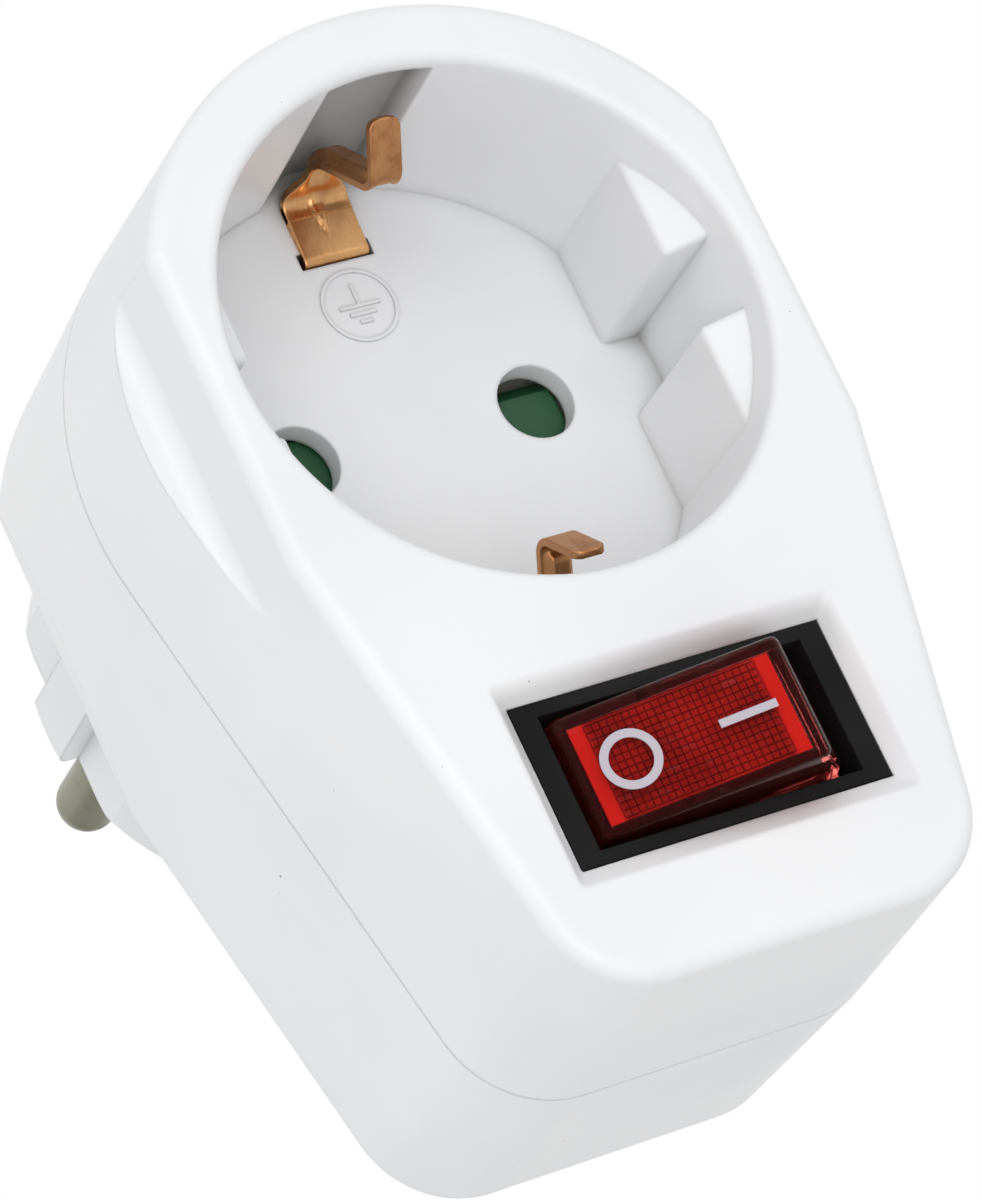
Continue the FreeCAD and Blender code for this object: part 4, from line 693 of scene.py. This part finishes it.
class FinishContacts(bpy.types.Operator):
    """Finish the inner contacts, strips, springs and terminals."""

    bl_idname = "adapter.finish_contacts"
    bl_label = "Finish the contacts"

    def execute(self, context):
        brass = pressed_metal("contact_brass", "brass", roughness=0.30, grain=(1.0, 0.12, 1.0))
        dress(brass, "live_contact", "neutral_contact", "supply_strip", "load_strip", "neutral_strip",
              "lamp_strip", "load_terminal", "supply_terminal", "lamp_terminal", "contact_arm")
        dress(pressed_metal("contact_silver", "silver", roughness=0.26), "arm_rivet")
        spring = pressed_metal("spring_steel", "steel", roughness=0.24, grain=(1.0, 1.0, 0.15), edge=0.00005)
        dress(spring, "live_contact_clamp", "neutral_contact_clamp", "shutter_spring", "plunger_spring")
        return {"FINISHED"}


class PressEarthStrip(bpy.types.Operator):
    """Press the earth strap, the two sprung fingers and the plug's earth contacts."""

    bl_idname = "adapter.press_earth_strip"
    bl_label = "Press the earth strip"

    def execute(self, context):
        sizes = settings(context, "earth")
        # Where the fingers brown towards the front: painted dark reflection.
        painted_dark_reflection = (CLIP_ROOT.y - sizes.dome_start * 2, CLIP_ROOT.y - sizes.dome_end)
        copper = pressed_metal("earth_copper", "copper", roughness=0.27, grain=(1.0, 0.10, 0.10),
                               edge=0.00008, sheared=0.45, painted_dark_reflection=painted_dark_reflection)
        for end, up in (("upper", 1), ("lower", -1)):
            mesh = self.press_finger(f"{end}_finger", up, sizes)
            add_piece(f"{end}_finger", mesh, copper, f"{end}_clip", "earth_copper", f"{end}_earth_clip")
        add_piece("floor_strap", self.press_strap(sizes), copper, "casing", "earth_copper", "earth_strap")
        dress(copper, "upper_plug_earth_contact", "lower_plug_earth_contact")
        return {"FINISHED"}

    def press_finger(self, name, up, sizes):
        """A sprung finger from its root in the strap to its tip, on the upper or the lower side."""
        shoulder = CLIP_ROOT.z + sizes.lean
        nose = shoulder - sizes.bulge
        corners = [
            (0.0, CLIP_ROOT.y, up * (CLIP_ROOT.z - sizes.bend * ROOT_LAP)),
            (0.0, CLIP_ROOT.y, up * CLIP_ROOT.z),
            (0.0, FRONT_FACE + sizes.shoulder_depth, up * shoulder),
            (0.0, FRONT_FACE + sizes.nose_depth, up * nose),
            (0.0, FRONT_FACE + sizes.tip_depth, up * (nose + sizes.flare)),
        ]
        line = bent_line(corners, (sizes.bend, sizes.shoulder_bend, sizes.nose_bend), sizes.step)
        dome = sizes.dome_start * 2

        def half_width(start, rest):
            taper = blend_between(start, sizes.dome_start, sizes.dome_end)
            return STRAP_HIGH.x + (sizes.finger_half - STRAP_HIGH.x) * taper

        def bead(start, rest):
            if start < dome:
                return up * sizes.bead * (1 - blend_between(start, 0.0, dome)), sizes.foot_bead_half
            rise = blend_between(start, dome, dome + sizes.arch_run)
            fade = blend_between(rest, sizes.tip_plain, sizes.tip_plain + sizes.arch_run)
            return -up * sizes.arch * rise * fade, sizes.arch_half

        return pressed_strip(name, line, half_width, bead, sizes.strip, sizes.edge, sizes.tip_corner)

    def press_strap(self, sizes):
        """The strap that runs behind the floor and shows its two feet on it."""
        back = STRAP_HIGH.y - sizes.strap / 2
        leg = sizes.strap_leg
        seat = CLIP_ROOT.y + sizes.strap_sink
        corners = [
            (0.0, CLIP_ROOT.y, STRAP_HIGH.z),
            (0.0, seat, leg),
            (0.0, back, leg),
            (0.0, back, -leg),
            (0.0, seat, -leg),
            (0.0, CLIP_ROOT.y, STRAP_LOW.z),
        ]
        line = bent_line(corners, (sizes.strap_bend,) * 4, sizes.step)

        def half_width(start, rest):
            return STRAP_HIGH.x

        def bead(start, rest):
            left = 1 - blend_between(min(start, rest), 0.0, sizes.foot_bead_length)
            return -sizes.bead * min(left * 2, 1.0), sizes.foot_bead_half * (0.2 + 0.8 * left)

        return pressed_strip("floor_strap", line, half_width, bead, sizes.strap, sizes.edge, 0.0)


class FinishPins(bpy.types.Operator):
    """Finish the two turned plug pins."""

    bl_idname = "adapter.finish_pins"
    bl_label = "Finish the pins"

    def execute(self, context):
        nickel = pressed_metal("pin_nickel", "nickel", roughness=0.30, grain=(1.0, 9.0, 1.0), browning=0.6)
        dress(nickel, "live_pin", "neutral_pin")
        return {"FINISHED"}


class FinishInside(bpy.types.Operator):
    """Finish the shutter, the inner mouldings, the lamp and its resistor."""

    bl_idname = "adapter.finish_inside"
    bl_label = "Finish the inside"

    def execute(self, context):
        look = settings(context, "inner")
        corner_tone = settings(context, "casing").corner_tone
        green = moulding("shutter_green", look.green, look.green_deep, look.green_deep, roughness=0.38,
                         edge=0.00015)
        dress(green, "shutter")
        for name, tone, roughness, clear, nodes in (
                ("carrier_plastic", look.carrier, 0.5, 0.0, ("contact_carrier", "pin_bridge")),
                ("plunger_plastic", look.plunger, 0.42, 0.0, ("rocker_plunger",)),
                ("lamp_glass", look.glass, 0.12, 0.6, ("neon_lamp",)),
                ("resistor_lacquer", look.resistor, 0.34, 0.0, ("lamp_resistor",))):
            made = moulding(name, tone, tone, corner_tone, roughness, edge=0.0001, Transmission_Weight=clear)
            dress(made, *nodes)
        return {"FINISHED"}


class FinishSwitch(bpy.types.Operator):
    """Finish the black switch frame and body."""

    bl_idname = "adapter.finish_switch"
    bl_label = "Finish the switch frame"

    def execute(self, context):
        look = settings(context, "inner")
        black = moulding("switch_black", look.black, look.black_worn, look.black_worn, roughness=0.44,
                         edge=0.00018, relief=6e-6, Specular_IOR_Level=0.06)
        dress(black, "switch_housing")
        return {"FINISHED"}


def rocker_place():
    """From the rocker's own frame, level at its pivot, to its rest place."""
    return Matrix.Translation(ROCKER_PIVOT) @ Matrix.Rotation(ROCKER_REST, 4, "Z")


class MakeRocker(bpy.types.Operator):
    """Make the rocker's clear cover and patterned plate, and finish its tray and marks."""

    bl_idname = "adapter.make_rocker"
    bl_label = "Make the rocker"

    def execute(self, context):
        sizes = settings(context, "rocker")
        self.make_cover(sizes)
        self.make_plate(sizes)
        for name, tone, roughness, edge, node in (
                ("tray_red", sizes.tray, 0.35, 0.00012, "rocker_tray"),
                ("mark_white", sizes.mark, 0.46, 0.00004, "rocker_marks")):
            dress(moulding(name, tone, tone, tone, roughness, edge), node)
        return {"FINISHED"}

    def cover_finish(self, sizes):
        """Clear red plastic, hazed and scratched, with polished edges that are tinted darker as painted
        shade.
        """
        finish = Finish("lens_red")
        soft = finish.soft_edges(sizes.cover_soft)
        haze = finish.cloud(sizes.haze_size, detail=4.0, roughness=0.6)
        scratch = finish.ramp(finish.cloud(sizes.scratch_size, stretch=COVER_SCRATCHES), *COVER_SCRATCH_STEP)
        rough = 0.02 + 0.02 * haze + 0.08 * scratch
        edges = finish.edges(soft)
        # Painted shade: the rounded edges are tinted darker red.
        tone = finish.mix(edges, finish.mix(haze * 0.5, sizes.lens, sizes.lens_deep), sizes.lens_edge_painted_shade)
        normal = finish.relief(finish.cloud(sizes.wave_size) - 0.3 * scratch, depth=5e-6, under=soft)
        polish = edges.larger(scratch * 0.3)
        return finish.surface(tone, rough, normal, Coat_Weight=polish, Coat_Roughness=0.12,
                              Transmission_Weight=sizes.clear, IOR=1.49, Specular_IOR_Level=0.04,
                              Specular_Tint=sizes.glint)

    def make_cover(self, sizes):
        """The cover: a bent band with both sides closed, open at its foot."""
        shape = bmesh.new()
        loops = {}
        for tag, inset in (("out", 0.0), ("in", sizes.wall)):
            profile = self.cover_profile(sizes, inset)
            half = sizes.half_width - inset
            for side in (-1, 1):
                loops[tag, side] = [shape.verts.new((u, v, side * half)) for u, v in profile]
        for side in (-1, 1):
            shape.faces.new(loops["out", side])
            shape.faces.new(loops["in", side])
        for tag in ("out", "in"):
            for k in range(len(profile) - 1):
                near, far = loops[tag, -1], loops[tag, 1]
                shape.faces.new((near[k], near[k + 1], far[k + 1], far[k]))
        near_out, far_out = loops["out", -1], loops["out", 1]
        near_in, far_in = loops["in", -1], loops["in", 1]
        for side_out, side_in in ((near_out, near_in), (far_out, far_in)):
            shape.faces.new((side_out[0], side_out[-1], side_in[-1], side_in[0]))
        for k in (0, -1):
            shape.faces.new((near_out[k], far_out[k], far_in[k], near_in[k]))
        bmesh.ops.recalc_face_normals(shape, faces=shape.faces)
        outside = [edge for edge in shape.edges
                   if all(abs(vert.co.z) > sizes.half_width - TINY and vert.co.y < -sizes.foot - TINY
                          for vert in edge.verts)]
        bmesh.ops.bevel(shape, geom=outside, offset=sizes.edge, segments=4, affect="EDGES", profile=0.5)
        shape.transform(rocker_place())
        mesh = close_mesh("window_cover", shape)
        add_piece("window_cover", mesh, self.cover_finish(sizes), "rocker", "lens_red", "rocker_lens")

    def cover_profile(self, sizes, inset):
        """Half-open outline of the cover in its own level frame, from foot to foot."""
        top = -(sizes.rise - inset)
        return [
            (-sizes.shoulder_half + inset, -sizes.foot),
            (-sizes.shoulder_half + inset, -sizes.shoulder),
            (-sizes.half_length + inset, top),
            (sizes.half_length - inset, top),
            (sizes.shoulder_half - inset, -sizes.shoulder),
            (sizes.shoulder_half - inset, -sizes.foot),
        ]

    def plate_finish(self, sizes):
        """Frosted plate: bright plain ends, squares with painted shade in clouds and painted shade in the
        grooves.
        """
        finish = Finish("diffuser_red")
        soft = finish.soft_edges(sizes.plate_soft)
        shade_clouds = finish.cloud(sizes.shade_cloud_size)
        grain = finish.cloud(sizes.grain_size)
        length_way, depth_way, _ = rocker_place().to_3x3().transposed()
        far = finish.distance_along(length_way, ROCKER_PIVOT.dot(length_way))
        plain = self.plate_half_length(sizes) - sizes.plain_end
        ends = finish.ramp(far, plain - sizes.pitch / 2, plain + sizes.pitch / 2)
        crown = ROCKER_PIVOT.dot(depth_way) - self.plate_rise(sizes)
        sunk = finish.along(depth_way) - crown
        groove = finish.ramp(sunk, sizes.groove_depth * 0.2, sizes.groove_depth * 0.8)
        # Painted shade: squares darker in clouds for the darker inside behind the plate, and darker grooves.
        inside_shade = finish.ramp(shade_clouds, *SHADE_CLOUD_STEP)
        paint = finish.mix(inside_shade, sizes.plate_tone, sizes.plate_painted_shade)
        paint = finish.mix(groove * (0.70 + 0.25 * inside_shade), paint, sizes.groove_painted_shade)
        paint = finish.mix(ends, paint, sizes.plate_end)
        rough = 0.42 + 0.12 * (grain - 0.5) + 0.2 * groove
        return finish.surface(paint, rough, finish.relief(grain, depth=4e-6, under=soft))

    def plate_half_length(self, sizes):
        """Half the length of the plate, which fits inside the cover."""
        return sizes.half_length - sizes.wall - sizes.plate_gap

    def plate_rise(self, sizes):
        """Height of the plate's squares over the pivot."""
        return sizes.rise - sizes.wall - sizes.plate_gap

    def make_plate(self, sizes):
        """The plate: a closed slab with a raised square in each cell and plain margins."""
        shape = bmesh.new()
        half_u = self.plate_half_length(sizes)
        half_w = sizes.half_width - sizes.wall - sizes.plate_gap * 2
        front = -self.plate_rise(sizes)
        across = self.lattice(half_u, sizes.plain_end, sizes.pitch)
        along = self.lattice(half_w, sizes.plain_side, sizes.pitch)
        floor = front + sizes.groove_depth
        grid = [[shape.verts.new((u, floor, w)) for w in along] for u in across]
        cells = []
        plain = []
        for i in range(len(across) - 1):
            for j in range(len(along) - 1):
                face = shape.faces.new((grid[i][j], grid[i + 1][j], grid[i + 1][j + 1], grid[i][j + 1]))
                inside = 0 < i < len(across) - 2 and 0 < j < len(along) - 2
                (cells if inside else plain).append(face)
        rim = [edge for edge in shape.edges if edge.is_boundary]
        made = bmesh.ops.extrude_edge_only(shape, edges=rim)
        skirt = [item for item in made["geom"] if isinstance(item, bmesh.types.BMVert)]
        bmesh.ops.translate(shape, verts=skirt, vec=(0.0, sizes.plate - sizes.groove_depth, 0.0))
        back = [edge for edge in shape.edges if edge.is_boundary]
        bmesh.ops.contextual_create(shape, geom=back)
        bmesh.ops.recalc_face_normals(shape, faces=shape.faces)
        bmesh.ops.inset_individual(shape, faces=cells, thickness=sizes.groove / 2, depth=sizes.groove_depth)
        bmesh.ops.inset_region(shape, faces=plain, thickness=sizes.groove * 0.3, depth=sizes.groove_depth)
        shape.transform(rocker_place())
        mesh = close_mesh("patterned_plate", shape, smooth_angle=math.radians(25))
        add_piece("patterned_plate", mesh, self.plate_finish(sizes), "rocker", "diffuser_red",
                  "rocker_diffuser")

    def lattice(self, half, plain, pitch):
        """Lines of the pattern from edge to edge: a plain margin, even squares, a plain margin."""
        count = max(1, round(2 * (half - plain) / pitch))
        inner = [-(half - plain) + 2 * (half - plain) * k / count for k in range(count + 1)]
        return [-half, *inner, half]


class SetStage(bpy.types.Operator):
    """Set the camera, the soft lamps, the pale floor and the white surround."""

    bl_idname = "adapter.set_stage"
    bl_label = "Set the stage"

    def execute(self, context):
        stage = settings(context, "stage")
        scene = context.scene
        self.place_camera(scene, stage)
        self.lay_floor(scene, stage)
        self.light_world(scene, stage)
        self.hang_lamp(scene, "key_lamp", stage.key, stage.key_size, stage.key_place)
        self.hang_lamp(scene, "side_lamp", stage.side, stage.side_size, stage.side_place)
        scene.view_settings.view_transform = "Standard"
        return {"FINISHED"}

    def place_camera(self, scene, stage):
        """The camera at its place, turned, raised and rolled."""
        sight = bpy.data.cameras.new("camera")
        sight.lens = stage.lens
        sight.sensor_width = 36.0
        sight.clip_start = stage.near
        camera = bpy.data.objects.new("camera", sight)
        scene.collection.objects.link(camera)
        level = Euler((math.pi / 2 + stage.climb, 0.0, -stage.heading), "XYZ").to_matrix()
        rolled = level @ Matrix.Rotation(-stage.roll, 3, "Z")
        camera.matrix_world = Matrix.Translation(stage.eye) @ rolled.to_4x4()
        scene.camera = camera

    def lay_floor(self, scene, stage):
        """A wide pale floor under the part."""
        finish = Finish("pale_floor")
        clouds = finish.cloud(stage.floor_cloud, detail=3.0) * 0.25
        tone = finish.mix(clouds, stage.floor_tone, stage.floor_shade)
        material = finish.surface(tone, 0.7 + 0.1 * finish.cloud(stage.floor_grain),
                                  finish.relief(finish.cloud(stage.floor_bump), depth=1e-5))
        shape = bmesh.new()
        bmesh.ops.create_grid(shape, x_segments=2, y_segments=2, size=stage.floor_half)
        bmesh.ops.translate(shape, verts=shape.verts, vec=(0.0, 0.0, -stage.floor_drop))
        mesh = bpy.data.meshes.new("floor")
        shape.to_mesh(mesh)
        shape.free()
        mesh.materials.append(material)
        floor = bpy.data.objects.new("floor", mesh)
        scene.collection.objects.link(floor)

    def light_world(self, scene, stage):
        """Even light from all round, which looks white where it is seen, mirrored or seen through."""
        world = bpy.data.worlds.new("surround")
        board = Board(world)
        ray = board.wires(board.node("ShaderNodeLightPath"))
        seen = ray["Is Camera Ray"].larger(ray["Is Glossy Ray"]).larger(ray["Is Transmission Ray"])
        white = (1.0, 1.0, 1.0, 1.0)
        soft, plain = [board.node("ShaderNodeBackground", sockets={"Color": white, "Strength": strength},
                                  output="Background") for strength in (stage.ambient, 1.0)]
        choice = board.node("ShaderNodeMixShader", sockets={"Fac": seen, "Shader": soft, "Shader_001": plain},
                            output="Shader")
        board.node("ShaderNodeOutputWorld", sockets={"Surface": choice})
        scene.world = world

    def hang_lamp(self, scene, name, watts, size, place):
        """A square soft lamp that faces the middle of the part."""
        light = bpy.data.lights.new(name, "AREA")
        light.energy = watts
        light.size = size
        lamp = bpy.data.objects.new(name, light)
        scene.collection.objects.link(lamp)
        centre = (CAD_BOX[0] + CAD_BOX[1]) / 2
        lamp.location = place
        lamp.rotation_euler = (centre - Vector(place)).to_track_quat("-Z", "Y").to_euler()


class AdapterPanel(bpy.types.Panel):
    """Lists the steps and the settings that shape the pieces."""

    bl_label = "Plug adapter"
    bl_idname = "VIEW3D_PT_plug_adapter"
    bl_space_type = "VIEW_3D"
    bl_region_type = "UI"
    bl_category = "Adapter"

    def draw(self, context):
        for step in STEPS:
            self.layout.operator(step.bl_idname)
        for name, group in SETTINGS:
            box = self.layout.box()
            box.label(text=group.__doc__)
            for key in group.__annotations__:
                box.prop(settings(context, name), key)


STEPS = (FinishCasing, FinishContacts, PressEarthStrip, FinishPins, FinishInside, FinishSwitch, MakeRocker,
         SetStage)
CLASSES = (*(group for _, group in SETTINGS), *STEPS, AdapterPanel)


def register():
    """Registers the settings, the operators and the panel."""
    for made in CLASSES:
        bpy.utils.register_class(made)
    for name, group in SETTINGS:
        setattr(bpy.types.Scene, f"adapter_{name}", PointerProperty(type=group))


def unregister():
    """Takes them away again."""
    for name, _ in SETTINGS:
        delattr(bpy.types.Scene, f"adapter_{name}")
    for made in reversed(CLASSES):
        bpy.utils.unregister_class(made)


def main():
    """Dresses the adapter and sets the stage."""
    register()
    for step in STEPS:
        group, name = step.bl_idname.split(".")
        getattr(getattr(bpy.ops, group), name)()


if __name__ == "__main__":
    main()
